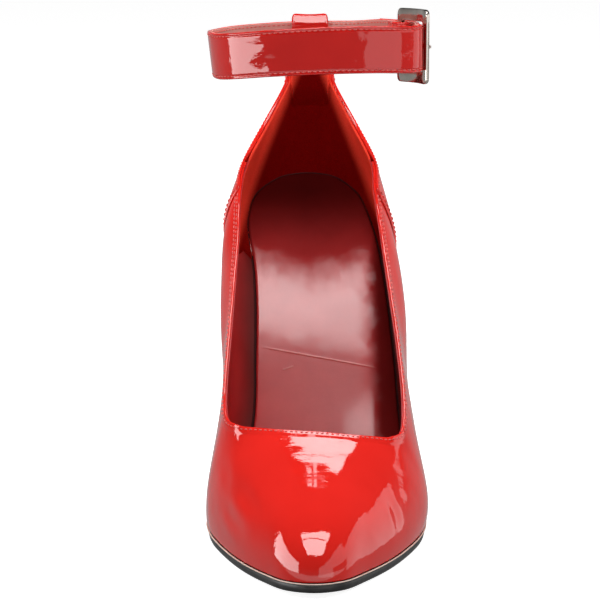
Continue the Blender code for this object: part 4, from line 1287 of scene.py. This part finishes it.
# Panels of the studio: a corner, its two edges, its radiance and what it gives, gloss or soft light.
# Each shines towards the shoe
PANELS = {
    "throat_card": ((-0.025, 0.045, 0.109), (0.074, 0.0, -0.009), (0.0, 0.0, 0.031), 7.6, "gloss"),
    "throat_drop": ((0.003, 0.045, 0.136), (0.009, 0.0, 0.0), (0.0, 0.0, 0.030), 5.0, "gloss"),
    "throat_chip": ((-0.013, 0.045, 0.147), (0.010, 0.0, 0.0), (0.0, 0.0, 0.018), 5.5, "gloss"),
    "table_front": ((-0.3, -0.40, -0.001), (0.6, 0.0, 0.0), (0.0, 0.32, 0.0), 1.3, "gloss"),
    "front_high": ((-0.30, -0.15, 0.75), (0.68, 0.0, 0.0), (0.0, 0.11, 0.0), 10.5, "gloss"),
    "front_low": ((-0.30, -0.55, 0.75), (0.66, 0.0, 0.0), (0.0, 0.38, 0.0), 10.5, "gloss"),
    "low_patch": ((0.03, -0.66, 0.75), (0.07, 0.0, 0.0), (0.0, 0.07, 0.0), 10.0, "gloss"),
    "left_box": ((-0.40, -0.40, 0.0), (0.0, 0.50, 0.0), (0.0, 0.0, 0.26), 7.2, "gloss"),
    "right_card": ((0.50, -0.06, -0.08), (0.0, 0.37, 0.0), (0.0, 0.0, 0.38), 1.3, "gloss"),
    "right_high": ((0.50, -0.38, 0.12), (0.0, 0.32, 0.0), (0.0, 0.0, 0.33), 1.3, "gloss"),
    "front_card": ((0.23, -1.05, -0.15), (0.27, 0.67, 0.0), (0.0, 0.0, 0.55), 1.4, "gloss"),
    "front_key": ((-0.18, -0.67, 0.72), (0.36, 0.0, 0.0), (0.0, 0.37, 0.24), 9.0, "soft"),
    "back_key": ((-0.2, 0.30, 0.80), (0.4, 0.0, 0.0), (0.0, 0.25, -0.15), 15.0, "soft"),
    "left_fill": ((-0.6, -0.2, 0.1), (0.0, 0.6, 0.0), (0.0, 0.0, 0.5), 2.4, "soft"),
    "right_fill": ((0.6, -0.2, 0.1), (0.0, 0.6, 0.0), (0.0, 0.0, 0.5), 2.4, "soft"),
}


# The floor lies just under the tread, so that the two do not flicker, and is clear from below
FLOOR_REACH = 6.0
FLOOR_Z = -0.0002
# World: an even base light, more from below, and a sweep from behind
WORLD_BASE = 0.08
WORLD_GROUND = 0.25
WORLD_SWEEP = 0.10
GROUND_PLACE = ((0.0, 0.0, -1.0), -0.45, 0.12)
SWEEP_PLACE = ((0.0, 1.0, -1.5), 0.1, 0.9)


def make_floor():
    floor = bpy.data.meshes.new("floor")
    corners = [(x * FLOOR_REACH, y * FLOOR_REACH, FLOOR_Z) for x, y in ((-1, -1), (1, -1), (1, 1), (-1, 1))]
    floor.from_pydata(corners, [], [(0, 1, 2, 3)])
    paint = new_paint("pale_floor")
    floor.materials.append(paint.finish({
        "Base Color": (0.6, 0.6, 0.6, 1.0),
        "Roughness": 0.8,
        "Emission Color": (1.0, 1.0, 1.0, 1.0),
        "Emission Strength": 0.9,
    }))
    surface = paint.nodes["Principled BSDF"].outputs["BSDF"]
    from_below = paint.add("NewGeometry")["Backfacing"]
    clear = paint.add("BsdfTransparent")["BSDF"]
    either = paint.add("MixShader", {"Fac": from_below, 1: surface, 2: clear})["Shader"]
    paint.feed(paint.nodes["Material Output"].inputs["Surface"], either)
    plane = add_object("floor", floor)
    for hidden_from in ("diffuse", "glossy", "transmission", "shadow"):
        setattr(plane, f"visible_{hidden_from}", False)


def make_studio():
    world = bpy.data.worlds.new("studio")
    paint = Paint(world)
    ground = paint.place(*GROUND_PLACE, of="Generated")
    sweep = paint.place(*SWEEP_PLACE, of="Generated")
    level = paint.math("MULTIPLY_ADD", ground, WORLD_GROUND, WORLD_BASE)
    level = paint.math("MULTIPLY_ADD", sweep, WORLD_SWEEP, level)
    seen = paint.add("LightPath")["Is Camera Ray"]
    shade = paint.nodes["Background"].inputs
    paint.feed(shade["Color"], (1.0, 1.0, 1.0, 1.0))
    paint.feed(shade["Strength"], paint.math("MAXIMUM", level, seen))
    bpy.context.scene.world = world
    for name, panel in PANELS.items():
        add_panel(name, *panel)


def make_camera():
    data = bpy.data.cameras.new("camera")
    data.lens = 179.4
    data.sensor_width = 36.0
    data.clip_start = 0.05
    camera = add_object("camera", data)
    camera.location = (-0.0393, -1.0654, 0.339)
    camera.rotation_euler = (math.radians(77.0), 0.0, math.radians(-1.7))
    bpy.context.scene.camera = camera


make_upper()
make_linings()
make_lasting_margin()
make_upper_stitches()
make_outsole()
make_welt()
make_insole()
make_heel()
make_strap()
make_loop()
make_buckle()
make_floor()
make_studio()
make_camera()
bpy.context.scene.view_settings.view_transform = "Standard"
